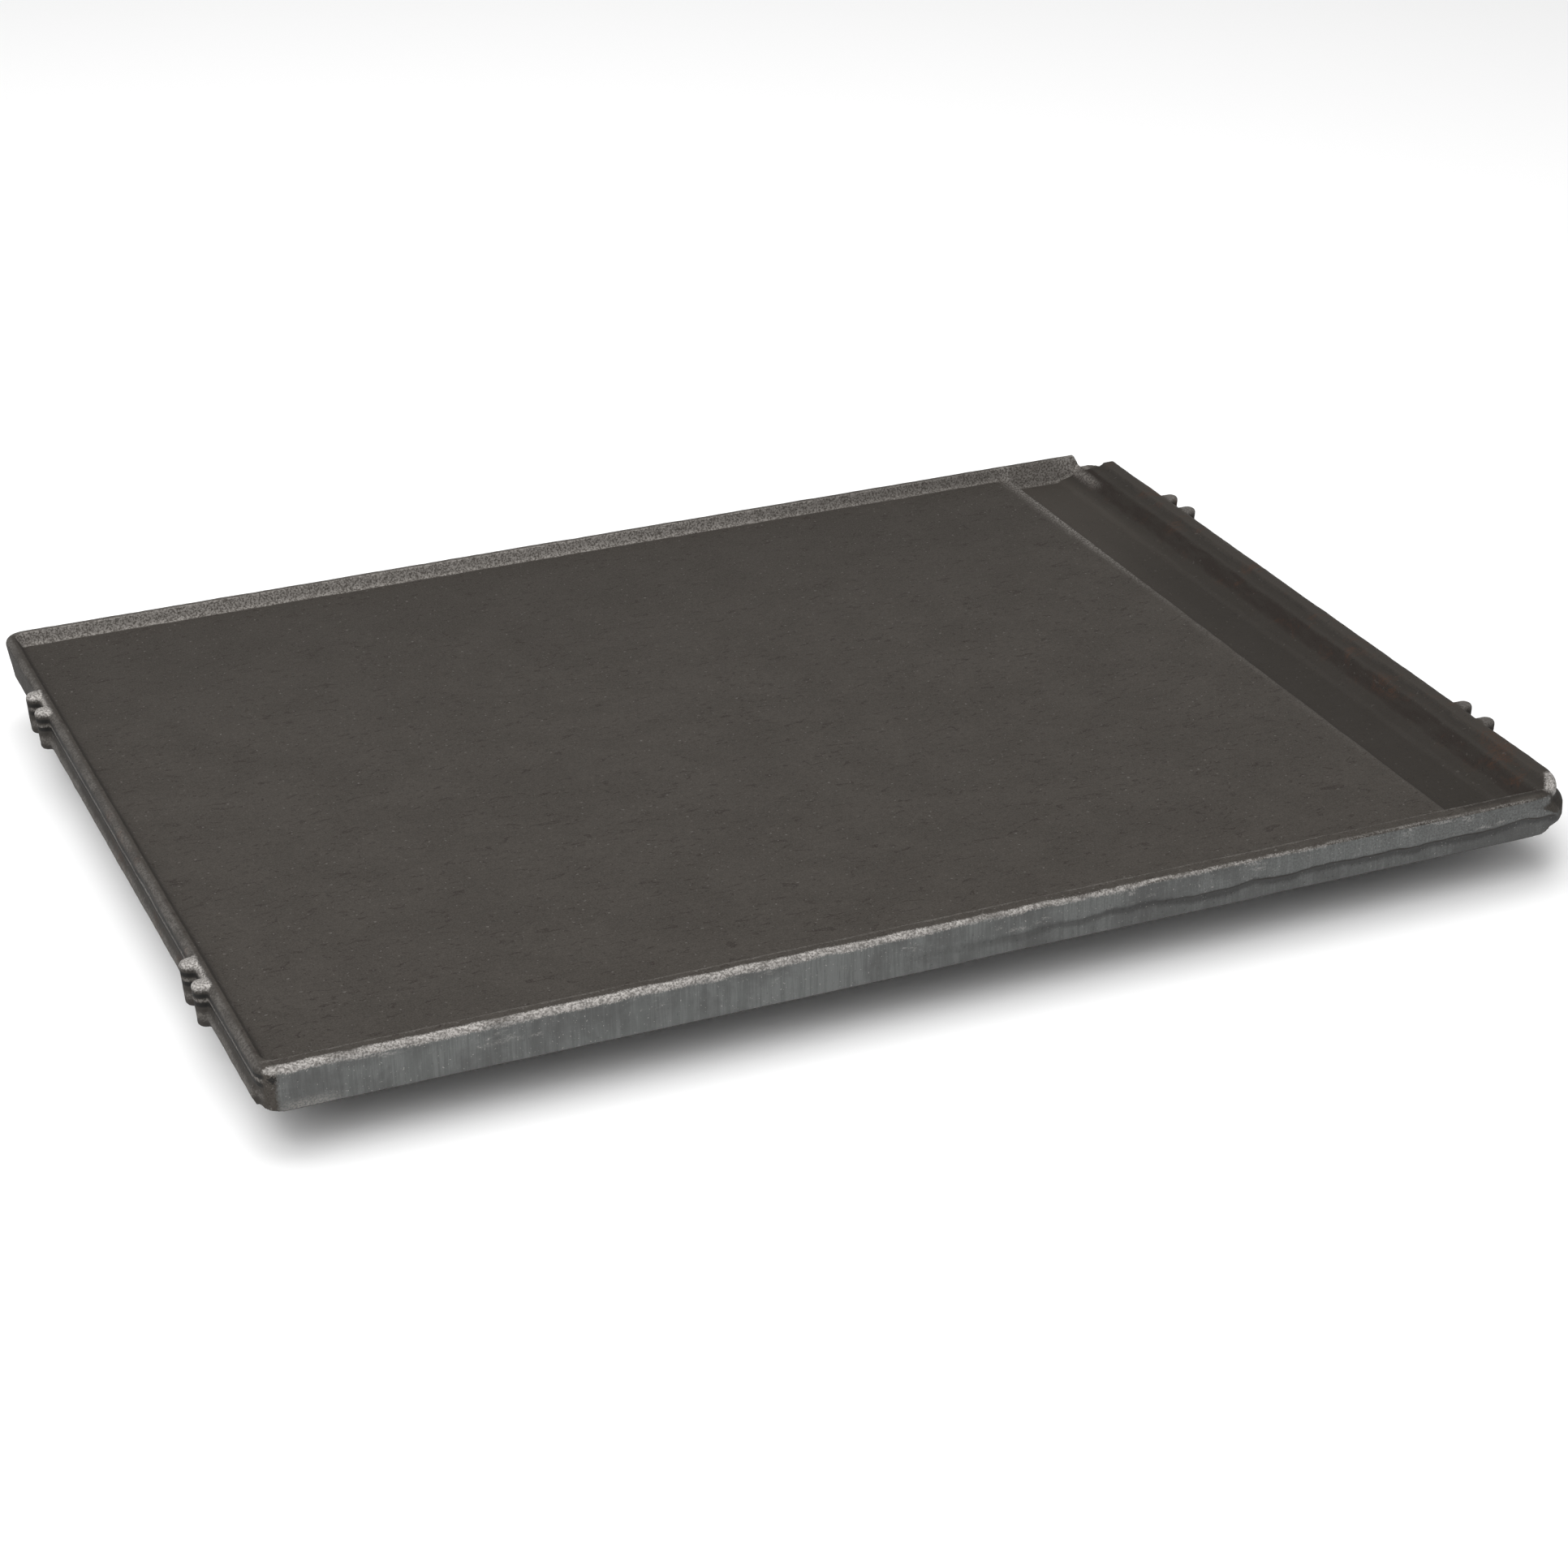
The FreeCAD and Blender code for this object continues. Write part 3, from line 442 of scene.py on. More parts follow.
def seasonedColour(tree, place, at, grain, coarse):
    # the oiled skin, from the broad tones to the small marks
    tones = ironTones

    def grains(name):
        return spreadOf(tree, coarse["Grains"], name)

    mottle = spreadOf(tree, grain["Mottle"], "oil")
    colour = layer(tree, tones["seasonedDeep"], tones["seasoned"], spreadOf(tree, mottle, "oilShare"))
    colour = layer(tree, colour, tones["trough"], fade(tree, at["y"], *zone["towardsBack"]))
    colour = layer(tree, colour, tones["trough"], patchy(tree, place, "fineMottle"), share["fineMottle"])
    dashes = patchy(tree, stretched(tree, place, alongDashes), "dashes")
    colour = layer(tree, colour, tones["darkBrown"], dashes, share["dashes"])
    colour = layer(tree, colour, tones["speck"], spreadOf(tree, grain["Grains"], "skinGrains"))
    colour = layer(tree, colour, tones["roughCast"], at["sideCast"], share["sideCast"])
    colour = layer(tree, colour, tones["trough"], at["inTrough"], share["trough"])
    colour = layer(tree, colour, tones["seasoned"], at["besideStep"], share["besideStep"])
    steepMarks = patchy(tree, stretched(tree, place, alongWall), "steepMarks")
    colour = layer(tree, colour, tones["darkBrown"], at["steep"], steepMarks)
    colour = layer(tree, colour, tones["rim"], at["rimRight"], share["rimRight"])
    colour = layer(tree, colour, tones["seasoned"], at["troughBack"])
    colour = layer(tree, colour, tones["speck"], at["rimOuter"], at["patches"], share["rimOuter"])
    colour = layer(tree, colour, tones["speck"], at["ledgeLines"], at["patches"], share["ledgeLines"])
    colour = layer(tree, colour, tones["pit"], at["rimLine"], at["patches"], share["rimLine"])
    colour = layer(tree, colour, tones["rust"], patchy(tree, place, "rust"), at["rustPlace"],
                   grains("rustGrains"))
    colour = layer(tree, colour, tones["speck"], at["stepEdge"], grains("stepGrains"))
    colour = layer(tree, colour, tones["sandyLight"], at["stepWedge"], grains("wedgeGrains"))
    colour = layer(tree, colour, tones["speck"], patchy(tree, place, "specks"),
                   mixValue(tree, at["inTrough"], share["specks"], share["troughSpecks"]))
    # painted shade in the left wall's grooves
    colour = layer(tree, colour, tones["pit"], at["leftGrooves"], share["grooves"])
    # painted highlights along the left rim, its bead and flared lip, the rim's inner edge and the pouring
    # lip, broken up by the sand grain
    edgeHighlights = allOf(tree, at["leftRim"], at["patches"], share["leftRim"])
    for name in ("leftBead", "innerEdge", "leftLip", "lip"):
        edgeHighlights = calc(tree, "MAXIMUM", edgeHighlights, calc(tree, "MULTIPLY", at[name], share[name]))
    colour = layer(tree, colour, tones["sandyLight"], edgeHighlights, grains("edgeGrains"))
    sandy = mixColour(tree, coarse["Grains"], tones["sandy"], tones["sandyLight"])
    colour = layer(tree, colour, sandy, at["backBand"], at["backShare"])
    # painted highlight on the back rim's top, broken up by the sand grain
    colour = layer(tree, colour, tones["sandyLight"], at["backTop"], at["backShare"], grains("backGrains"))
    return layer(tree, colour, sandy, at["backEnd"], share["backEnd"]), mottle


def groundColour(tree, place, at, marks, coarse):
    # the ground front face: streaks, scuffs, painted glints, and the shadow line that wanders along it with
    # a painted shadow band under it
    tones, x, z = ironTones, at["x"], at["z"]

    def rise(value, name):
        return fade(tree, value, *zone[name])

    def less(first, second):
        return calc(tree, "SUBTRACT", first, second)

    ground = layer(tree, tones["ground"], tones["groundLight"], spreadOf(tree, marks["Streaks"], "streaks"))
    ground = layer(tree, ground, tones["groundDark"], spreadOf(tree, coarse["Mottle"], "groundMottle"))
    ground = layer(tree, ground, tones["groundDark"], spreadOf(tree, coarse["Grains"], "gaps"),
                   rise(x, "gapsAlong"))
    scuffs = patchy(tree, stretched(tree, place, alongFront), "scuffs")
    ground = layer(tree, ground, tones["wornLight"], scuffs, coarse["Grains"], rise(z, "scuffsUp"),
                   rise(x, "scuffsAlong"))
    alongLine = addNode(tree, "ShaderNodeCombineXYZ", {0: x}).outputs[0]
    sway = less(noiseAt(tree, alongLine, casting["groundRate"], *casting["lineNoise"]), 0.5)
    overLine = less(at["zWandered"], calc(tree, "MULTIPLY", sway, casting["groundWave"]))
    # painted shadow: a dark band just under the ground face's shadow line, stronger towards the right
    shadow = band(tree, less(overLine, casting["groundLine"]), *zone["shadow"])
    ground = layer(tree, ground, tones["groundShade"], shadow, rise(x, "shadowAlong"))
    # painted glints: light specks where the ground face's grain tops would catch the light
    ground = layer(tree, ground, tones["wornLight"], coarse["Specks"], share["groundSpecks"])
    ground = layer(tree, ground, tones["groundLight"], coarse["Grains"], rise(z, "grainsUp"),
                   rise(x, "grainsAlong"))
    lowerHalf = rise(less(calc(tree, "ADD", z, at["slow"]), casting["groundLine"]), "lowerHalf")
    ground = layer(tree, ground, tones["groundDark"], lowerHalf, rise(x, "lowerAlong"))
    return layer(tree, ground, tones["sandyLight"], at["lowLeftPatch"], coarse["Grains"],
                 share["lowLeftPatch"])


def castIronFinish():
    material, tree, shader = newMaterial("seasonedCastIron")
    coords = addNode(tree, "ShaderNodeTexCoord")
    place = coords.outputs["Object"]
    grain = useGroup(tree, sandGrain, {"Grain Scale": 1500.0, "Pit Amount": 0.5})
    coarse = useGroup(tree, sandGrain, {"Grain Scale": 1250.0, "Pit Amount": 0.8})
    marks = useGroup(tree, toolMarks, {"Stretch": (1.0, 1.0, 0.05), "Scale": 1300.0})
    at = castMasks(tree, place, coords.outputs["Normal"])

    colour, mottle = seasonedColour(tree, place, at, grain, coarse)
    colour = mixColour(tree, at["groundFace"], colour, groundColour(tree, place, at, marks, coarse))
    # bare metal with a painted highlight on it: the front edge, the rib tops and the corner knob
    wornAndLitEdges = calc(tree, "MAXIMUM", calc(tree, "MAXIMUM", at["frontEdge"], at["ribTops"]), at["cornerKnob"])
    edgeWearAndHighlightTone = mixColour(tree, coarse["Grains"], ironTones["worn"], ironTones["wornLight"])
    colour = mixColour(tree, wornAndLitEdges, colour, edgeWearAndHighlightTone)
    colour = mixColour(tree, calc(tree, "MULTIPLY", at["chip"], share["chip"]), colour, ironTones["pit"])
    colour = mixColour(tree, at["underside"], colour, ironTones["under"])
    colour = mixColour(tree, calc(tree, "MULTIPLY", grain["Pits"], share["pits"]), colour, ironTones["pit"])

    bare = calc(tree, "MAXIMUM", at["groundFace"], wornAndLitEdges)
    rough = mixValue(tree, bare, mixValue(tree, mottle, skin["dry"], skin["oiled"]), skin["bare"])
    height = mixValue(tree, at["groundFace"], grain["Height"], marks["Height"])
    sandDepth = calc(tree, "MAXIMUM", at["backBand"], at["sideCast"])
    height = mixValue(tree, sandDepth, height, calc(tree, "MULTIPLY", coarse["Height"], skin["sandHeight"]))
    plug(tree, shader, Base_Color=colour, Roughness=rough,
         Metallic=calc(tree, "MULTIPLY", bare, skin["metallic"]), Specular_IOR_Level=skin["specular"],
         Normal=bumpFrom(tree, height, skin["bumpDistance"], skin["bumpStrength"]))
    return material


def plainSteelFinish(name, tone, stretch, scale, rough, tint=0.0):
    material, tree, shader = newMaterial(name)
    marks = useGroup(tree, toolMarks, {"Stretch": stretch, "Scale": scale})
    grain = useGroup(tree, sandGrain, {"Grain Scale": 500.0, "Pit Amount": 0.1})
    base = mixColour(tree, marks["Streaks"], grey(tone * 0.93, tint), grey(tone, tint))
    dull = fade(tree, grain["Mottle"], 0.45, 0.75, 0.0, 0.35)
    base = mixColour(tree, dull, base, grey(tone * 0.6, tint + 0.02))
    wear = mixValue(tree, grain["Mottle"], rough + 0.10, rough - 0.08)
    plug(tree, shader, Base_Color=base, Metallic=0.9, Roughness=wear,
         Normal=bumpFrom(tree, marks["Height"], 0.00002, 0.5))
    return material


def mouldedFinish(name, look):
    # plain moulded pieces: an even tone, a fine skin, and a little dust where the grain lies low
    material, tree, shader = newMaterial(name)
    grain = useGroup(tree, sandGrain, {"Grain Scale": look["grain"], "Pit Amount": 0.1})
    base = mixColour(tree, fade(tree, grain["Mottle"], 0.35, 0.70), look["tone"], look["second"])
    base = mixColour(tree, fade(tree, grain["Grains"], 0.0, 1.0, look["dust"], 0.0), base, look["dustTone"])
    rough = mixValue(tree, grain["Mottle"], look["rough"] - 0.08, look["rough"] + 0.08)
    plug(tree, shader, Base_Color=base, Roughness=rough, Specular_IOR_Level=look["specular"],
         Normal=bumpFrom(tree, grain["Height"], look["depth"], 0.6))
    return material


def matFinish():
    # glass fibre: long pale strands that cross each other
    material, tree, shader = newMaterial("glassFibreMat")
    one = useGroup(tree, toolMarks, {"Stretch": (0.12, 1.0, 1.0), "Scale": 900.0})
    two = useGroup(tree, toolMarks, {"Stretch": (1.0, 0.15, 1.0), "Scale": 700.0})
    strands = calc(tree, "MAXIMUM", one["Streaks"], two["Streaks"])
    base = mixColour(tree, strands, (0.46, 0.43, 0.36, 1.0), (0.74, 0.72, 0.66, 1.0))
    height = calc(tree, "ADD", one["Height"], two["Height"])
    plug(tree, shader, Base_Color=base, Roughness=0.92, Normal=bumpFrom(tree, height, 0.0004, 0.9))
    return material


rubberLook = {"tone": grey(0.018), "second": grey(0.026, 0.02), "dustTone": grey(0.10, 0.04), "dust": 0.22,
              "grain": 900.0, "rough": 0.74, "specular": 0.35, "depth": 0.00006}
phenolicLook = {"tone": (0.026, 0.018, 0.014, 1.0), "second": (0.036, 0.026, 0.020, 1.0),
                "dustTone": grey(0.12, 0.04), "dust": 0.10, "grain": 1100.0, "rough": 0.44,
                "specular": 0.5, "depth": 0.00003}
sealLook = {"tone": (0.40, 0.13, 0.08, 1.0), "second": (0.46, 0.17, 0.11, 1.0), "dustTone": grey(0.30, 0.05),
            "dust": 0.10, "grain": 800.0, "rough": 0.56, "specular": 0.4, "depth": 0.00003}

finishes = {
    "iron": castIronFinish(),
    "sheet_steel": plainSteelFinish("aluminisedSheet", 0.42, (1.0, 0.03, 1.0), 700.0, 0.42, 0.01),
    "zinc_steel": plainSteelFinish("dullZincPlate", 0.40, (0.04, 1.0, 1.0), 600.0, 0.48, 0.0),
    "fastener": plainSteelFinish("zincFastener", 0.46, (1.0, 1.0, 0.1), 900.0, 0.36, 0.01),
    "sheath": plainSteelFinish("heatTintedSheath", 0.26, (1.0, 1.0, 1.0), 300.0, 0.45, 0.08),
    "contact": plainSteelFinish("nickelContact", 0.58, (1.0, 0.06, 1.0), 900.0, 0.26, 0.03),
    "pad_rubber": mouldedFinish("padRubber", rubberLook),
    "phenolic": mouldedFinish("phenolicMoulding", phenolicLook),
    "seal": mouldedFinish("siliconeSeal", sealLook),
    "mat": matFinish(),
}
print("finishes built")


# ---- geometry trees and what they need
def finishTree(tree, geometry, given, out):
    real = addNode(tree, "GeometryNodeRealizeInstances", {"Geometry": geometry})
    coloured = addNode(tree, "GeometryNodeSetMaterial",
                       {"Geometry": real.outputs[0], "Material": given["Material"]})
    tree.links.new(coloured.outputs[0], out["Geometry"])
    return tree


def castSkinTree():
    tree, given, out = newGroup(
        "castSkin",
        [("Geometry", "NodeSocketGeometry", None), ("Wave Depth", "NodeSocketFloat", 0.0),
         ("Wave Scale", "NodeSocketFloat", 1.0), ("Lump Depth", "NodeSocketFloat", 0.0),
         ("Lump Scale", "NodeSocketFloat", 1.0), ("Line Height", "NodeSocketFloat", 0.0),
         ("Line Wander", "NodeSocketFloat", 0.0), ("Line Rate", "NodeSocketFloat", 1.0),
         ("Material", "NodeSocketMaterial", None)],
        [("Geometry", "NodeSocketGeometry")], "GeometryNodeTree")
    place = addNode(tree, "GeometryNodeInputPosition").outputs[0]
    normal = addNode(tree, "GeometryNodeInputNormal").outputs[0]
    x, y, z = addNode(tree, "ShaderNodeSeparateXYZ", {0: place}).outputs
    turned = addNode(tree, "ShaderNodeSeparateXYZ", {0: normal}).outputs

    def less(first, second):
        return calc(tree, "SUBTRACT", first, second)

    level = allOf(tree, fade(tree, calc(tree, "ABSOLUTE", turned[2]), *casting["levelTurn"]),
                  fade(tree, less(plate["rimTop"], z), *casting["levelBelow"]))
    front = allOf(tree, fade(tree, calc(tree, "ADD", y, plate["halfWidth"]), *casting["frontDepth"]),
                  fade(tree, turned[1], *casting["frontTurn"]))
    # the underside and its bores stay true, because other pieces fit there
    roof = fade(tree, less(plate["stepX"], x), *casting["roofStep"],
                plate["cookLevel"] - casting["roofSkin"][0], plate["troughLevel"] - casting["roofSkin"][1])
    end = less(plate["halfLength"], calc(tree, "ABSOLUTE", x))
    side = less(plate["halfWidth"], calc(tree, "ABSOLUTE", y))
    fitted = allOf(tree, fade(tree, less(z, roof), *casting["roofSoft"]),
                   fade(tree, end, *casting["fittedIn"]), fade(tree, side, *casting["fittedIn"]))
    freedom = allOf(tree, less(1.0, level), fade(tree, front, 0.0, 1.0, 1.0, casting["frontFreedom"]),
                    less(1.0, fitted))
    waves = calc(tree, "MULTIPLY", less(noiseAt(tree, place, given["Wave Scale"], 2.0), 0.5),
                 calc(tree, "MULTIPLY", given["Wave Depth"], 2.0))
    lumps = calc(tree, "MULTIPLY", less(noiseAt(tree, place, given["Lump Scale"], 2.0), 0.5),
                 calc(tree, "MULTIPLY", given["Lump Depth"], 2.0))
    push = calc(tree, "MULTIPLY", calc(tree, "ADD", waves, lumps), freedom)
    outward = addNode(tree, "ShaderNodeVectorMath", {0: normal, "Scale": push}, operation="SCALE").outputs[0]
    # the shadow line across the ground face wanders up and down, more towards the right
    alongLine = addNode(tree, "ShaderNodeCombineXYZ", {0: x}).outputs[0]
    sway = less(noiseAt(tree, alongLine, given["Line Rate"], *casting["lineNoise"]), 0.5)
    nearLine = band(tree, less(z, given["Line Height"]), -casting["lineReach"], casting["lineReach"],
                    casting["lineSoft"])
    rise = allOf(tree, calc(tree, "MULTIPLY", sway, given["Line Wander"]), nearLine, front)
    lift = addNode(tree, "ShaderNodeCombineXYZ", {2: rise}).outputs[0]
    total = addNode(tree, "ShaderNodeVectorMath", {0: outward, 1: lift}, operation="ADD").outputs[0]
    moved = addNode(tree, "GeometryNodeSetPosition", {"Geometry": given["Geometry"], "Offset": total})
    shaded = addNode(tree, "GeometryNodeSetShadeSmooth", {"Geometry": moved.outputs[0]})
    return finishTree(tree, shaded.outputs[0], given, out)


def setInputs(modifier, values):
    sockets = modifier.node_group.interface.items_tree
    for item in sockets:
        if item.item_type == "SOCKET" and item.in_out == "INPUT" and item.name in values:
            modifier[item.identifier] = values[item.name]


def bake(piece):
    # turns the piece with its modifiers into a plain mesh
    graph = bpy.context.evaluated_depsgraph_get()
    mesh = bpy.data.meshes.new_from_object(piece.evaluated_get(graph))
    piece.modifiers.clear()
    piece.data = mesh
    return piece


def mergedCopy(node, name):
    mesh = frame["nodes"][node].data.copy()
    edited = bmesh.new()
    edited.from_mesh(mesh)
    bmesh.ops.remove_doubles(edited, verts=edited.verts, dist=1e-6)
    edited.to_mesh(mesh)
    edited.free()
    mesh.materials.clear()
    piece = bpy.data.objects.new(name, mesh)
    bpy.context.scene.collection.objects.link(piece)
    return piece


def makeCasting():
    piece = mergedCopy("griddle_plate", "griddleCasting")
    skin = piece.modifiers.new("skin", "REMESH")
    skin.mode = "VOXEL"
    skin.voxel_size = casting["voxel"]
    relax = piece.modifiers.new("relax", "SMOOTH")
    relax.factor, relax.iterations = casting["relaxing"], 1
    cast = piece.modifiers.new("cast", "NODES")
    cast.node_group = castSkinTree()
    setInputs(cast, {"Wave Depth": casting["waveDepth"], "Wave Scale": casting["waveScale"],
                     "Lump Depth": casting["lumpDepth"], "Lump Scale": casting["lumpScale"],
                     "Line Height": casting["groundLine"], "Line Wander": casting["groundWave"],
                     "Line Rate": casting["groundRate"], "Material": finishes["iron"]})
    bake(piece)
    thin = piece.modifiers.new("thin", "DECIMATE")
    thin.ratio = casting["triangles"] / (2 * len(piece.data.polygons))
    flatShade = piece.modifiers.new("flatShade", "WEIGHTED_NORMAL")
    flatShade.weight = casting["creaseWeight"]
    bake(piece)
    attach(piece, "griddle")
    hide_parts("griddle_plate")
    print("casting:", len(piece.data.polygons), "faces")


makeCasting()


# ---- the pieces under the plate
def placePiece(piece, node):
    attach(piece, bodyOf[node])
    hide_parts(node)


bevel = {"angle": math.radians(35), "creaseWeight": 60, "segments": 2}


def bevelled(piece, width):
    # rounds every sharp edge by the same width
    rounding = piece.modifiers.new("rounding", "BEVEL")
    rounding.width, rounding.segments = width, bevel["segments"]
    rounding.limit_method, rounding.angle_limit = "ANGLE", bevel["angle"]
    rounding.use_clamp_overlap = True
    evenShade = piece.modifiers.new("evenShade", "WEIGHTED_NORMAL")
    evenShade.weight = bevel["creaseWeight"]
    bake(piece)
    for face in piece.data.polygons:
        face.use_smooth = True
    return piece


def makeRounded(node, name, width):
    piece = bevelled(mergedCopy(node, name), width)
    piece.data.materials.clear()
    piece.data.materials.append(finishes[slotOf[node]])
    placePiece(piece, node)
    return piece


bodyOf = {name: body for body, names in frame["record"]["behaviour"]["bodies"].items() for name in names}
slotOf = {name: node.data.materials[0].name.split(".")[0] for name, node in frame["nodes"].items()}

pan = {
    "rounding": 0.0007, "floorReach": 0.0012, "beads": 3, "beadDepth": 0.0016, "beadHalfWidth": 0.0065,
    "beadFlank": 0.55, "beadShare": 0.36, "cuts": 12,
}


def makePan():
    # pressed beads stiffen the pan's floor: long shallow channels, sunk on both faces of the sheet alike
    piece = mergedCopy("heat_shield_pan", "heatShieldPan")
    low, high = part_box("heat_shield_pan")
    middle, size = (low + high) / 2, high - low
    floorTop = low.z + pan["floorReach"]
    edited = bmesh.new()
    edited.from_mesh(piece.data)
    rows = [middle.y + size.y * (k / (pan["beads"] + 1) - 0.5) for k in range(1, pan["beads"] + 1)]
    reach = size.x * pan["beadShare"]

    def cut(point, normal):
        everything = list(edited.verts) + list(edited.edges) + list(edited.faces)
        bmesh.ops.bisect_plane(edited, geom=everything, plane_co=point, plane_no=normal)

    steps = [2 * k / pan["cuts"] - 1 for k in range(pan["cuts"] + 1)]
    for row in rows:
        for step in steps:
            cut((0, row + step * pan["beadHalfWidth"], 0), (0, 1, 0))
    for end in (-1, 1):
        for step in steps:
            cut((middle.x + end * reach + step * pan["beadHalfWidth"], 0, 0), (1, 0, 0))
    for vertex in edited.verts:
        if vertex.co.z > floorTop:
            continue
        aside = min(abs(vertex.co.y - row) for row in rows)
        beyond = max(0.0, abs(vertex.co.x - middle.x) - reach)
        share = math.hypot(aside, beyond) / pan["beadHalfWidth"]
        sunk = min(1.0, max(0.0, (1.0 - share) / pan["beadFlank"]))
        vertex.co.z -= pan["beadDepth"] * sunk * sunk * (3 - 2 * sunk)
    edited.to_mesh(piece.data)
    edited.free()
    bevelled(piece, pan["rounding"])
    piece.data.materials.clear()
    piece.data.materials.append(finishes["sheet_steel"])
    placePiece(piece, "heat_shield_pan")
    print("pan:", len(piece.data.polygons), "faces")


foot = {
    "studRadius": 0.00385, "threadDepth": 0.0005, "pitch": 0.00125, "turnPoints": 24, "core": 0.86,
    "ridgeInset": 0.8, "ridgeSize": 0.95,      # shares of the thread's depth
    "hexTop": 0.0151, "ribs": 36, "ribDepth": 0.0005, "ribWidth": 0.0011, "ribFrom": 0.0024, "ribTo": 0.0068,
    "studRounding": 0.0003, "padRounding": 0.0005,
}


def threadTree():
    # a screw thread as one triangular ridge wound up a core
    tree, given, out = newGroup(
        "screwThread",
        [("Geometry", "NodeSocketGeometry", None), ("Radius", "NodeSocketFloat", 0.0),
         ("Depth", "NodeSocketFloat", 0.0), ("Pitch", "NodeSocketFloat", 1.0),
         ("Length", "NodeSocketFloat", 0.0),
         ("Start", "NodeSocketVector", (0.0, 0.0, 0.0)), ("Points", "NodeSocketInt", 24),
         ("Material", "NodeSocketMaterial", None)],
        [("Geometry", "NodeSocketGeometry")], "GeometryNodeTree")
    inset = calc(tree, "MULTIPLY", given["Depth"], foot["ridgeInset"])
    middleRadius = calc(tree, "SUBTRACT", given["Radius"], inset)
    turns = calc(tree, "DIVIDE", given["Length"], given["Pitch"])
    spiral = addNode(tree, "GeometryNodeCurveSpiral", {
        "Resolution": given["Points"], "Rotations": turns, "Start Radius": middleRadius,
        "End Radius": middleRadius, "Height": given["Length"]})
    ridge = addNode(tree, "GeometryNodeCurvePrimitiveCircle", {
        "Resolution": 3, "Radius": calc(tree, "MULTIPLY", given["Depth"], foot["ridgeSize"])})
    wound = addNode(tree, "GeometryNodeCurveToMesh", {
        "Curve": spiral.outputs[0], "Profile Curve": ridge.outputs[0], "Fill Caps": True})
    lifted = addNode(tree, "GeometryNodeTransform",
                     {"Geometry": wound.outputs[0], "Translation": given["Start"]})
    both = addNode(tree, "GeometryNodeJoinGeometry")
    tree.links.new(given["Geometry"], both.inputs[0])
    tree.links.new(lifted.outputs[0], both.inputs[0])
    return finishTree(tree, both.outputs[0], given, out)


def gripTree():
    # upright ribs round a foot's pad, evenly spaced
    tree, given, out = newGroup(
        "padGrip",
        [("Geometry", "NodeSocketGeometry", None), ("Ribs", "NodeSocketInt", 12),
         ("Radius", "NodeSocketFloat", 0.0), ("Rib Size", "NodeSocketVector", (0.0, 0.0, 0.0)),
         ("Centre", "NodeSocketVector", (0.0, 0.0, 0.0)),
         ("Material", "NodeSocketMaterial", None)],
        [("Geometry", "NodeSocketGeometry")], "GeometryNodeTree")
    ring = addNode(tree, "GeometryNodeMeshCircle", {"Vertices": given["Ribs"], "Radius": given["Radius"]})
    rib = addNode(tree, "GeometryNodeMeshCube", {"Size": given["Rib Size"]})
    index = addNode(tree, "GeometryNodeInputIndex").outputs[0]
    angle = calc(tree, "DIVIDE", calc(tree, "MULTIPLY", index, 2 * math.pi), given["Ribs"])
    turn = addNode(tree, "ShaderNodeCombineXYZ", {2: angle}).outputs[0]
    ribs = addNode(tree, "GeometryNodeInstanceOnPoints", {
        "Points": ring.outputs[0], "Instance": rib.outputs[0], "Rotation": turn})
    moved = addNode(tree, "GeometryNodeTransform",
                    {"Geometry": ribs.outputs[0], "Translation": given["Centre"]})
    both = addNode(tree, "GeometryNodeJoinGeometry")
    tree.links.new(given["Geometry"], both.inputs[0])
    tree.links.new(moved.outputs[0], both.inputs[0])
    return finishTree(tree, both.outputs[0], given, out)


def makeFootStud(corner, tree):
    node = "foot_stud_" + corner
    low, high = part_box(node)
    middle = (low + high) / 2
    piece = bevelled(mergedCopy(node, "footStud" + corner.title().replace("_", "")), foot["studRounding"])
    for vertex in piece.data.vertices:
        if vertex.co.z > foot["hexTop"]:
            vertex.co.x = middle.x + (vertex.co.x - middle.x) * foot["core"]
            vertex.co.y = middle.y + (vertex.co.y - middle.y) * foot["core"]
    length = high.z - foot["hexTop"] - 2 * foot["pitch"]
    thread = piece.modifiers.new("thread", "NODES")
    thread.node_group = tree
    setInputs(thread, {"Radius": foot["studRadius"], "Depth": foot["threadDepth"], "Pitch": foot["pitch"],
                       "Length": length, "Start": (middle.x, middle.y, foot["hexTop"] + foot["pitch"]),
                       "Points": foot["turnPoints"], "Material": finishes["fastener"]})
    bake(piece)
    placePiece(piece, node)


def makeFootPad(corner, tree):
    node = "foot_pad_" + corner
    low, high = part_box(node)
    middle = (low + high) / 2
    piece = bevelled(mergedCopy(node, "footPad" + corner.title().replace("_", "")), foot["padRounding"])
    grip = piece.modifiers.new("grip", "NODES")
    grip.node_group = tree
    radius = (high.x - low.x) / 2
    centre = (middle.x, middle.y, low.z + (foot["ribFrom"] + foot["ribTo"]) / 2)
    setInputs(grip, {"Ribs": foot["ribs"], "Radius": radius,
                     "Rib Size": (2 * foot["ribDepth"], foot["ribWidth"], foot["ribTo"] - foot["ribFrom"]),
                     "Centre": centre, "Material": finishes["pad_rubber"]})
    bake(piece)
    placePiece(piece, node)


makePan()
feet = [name[len("foot_pad_"):] for name in frame["nodes"] if name.startswith("foot_pad_")]
studThread, padGrip = threadTree(), gripTree()
for corner in feet:
    makeFootStud(corner, studThread)
    makeFootPad(corner, padGrip)
print("feet:", feet)

roundings = {
    "contact_block": 0.0006, "inlet_guard": 0.0003, "end_seals": 0.0004, "clamp_nuts": 0.0005,
    "clamp_washers": 0.00015, "foot_lock_nuts": 0.0006, "contact_pins": 0.0003,
    "clamp_bar_1": 0.0004, "clamp_bar_2": 0.0004, "clamp_bar_3": 0.0004, "clamp_bar_4": 0.0004,
}
for node, width in roundings.items():
    words = node.split("_")
    makeRounded(node, words[0] + "".join(w.capitalize() for w in words[1:]), width)

for name, node in frame["nodes"].items():
    node.data.materials[0] = finishes[slotOf[name]]
print("pieces under the plate made")


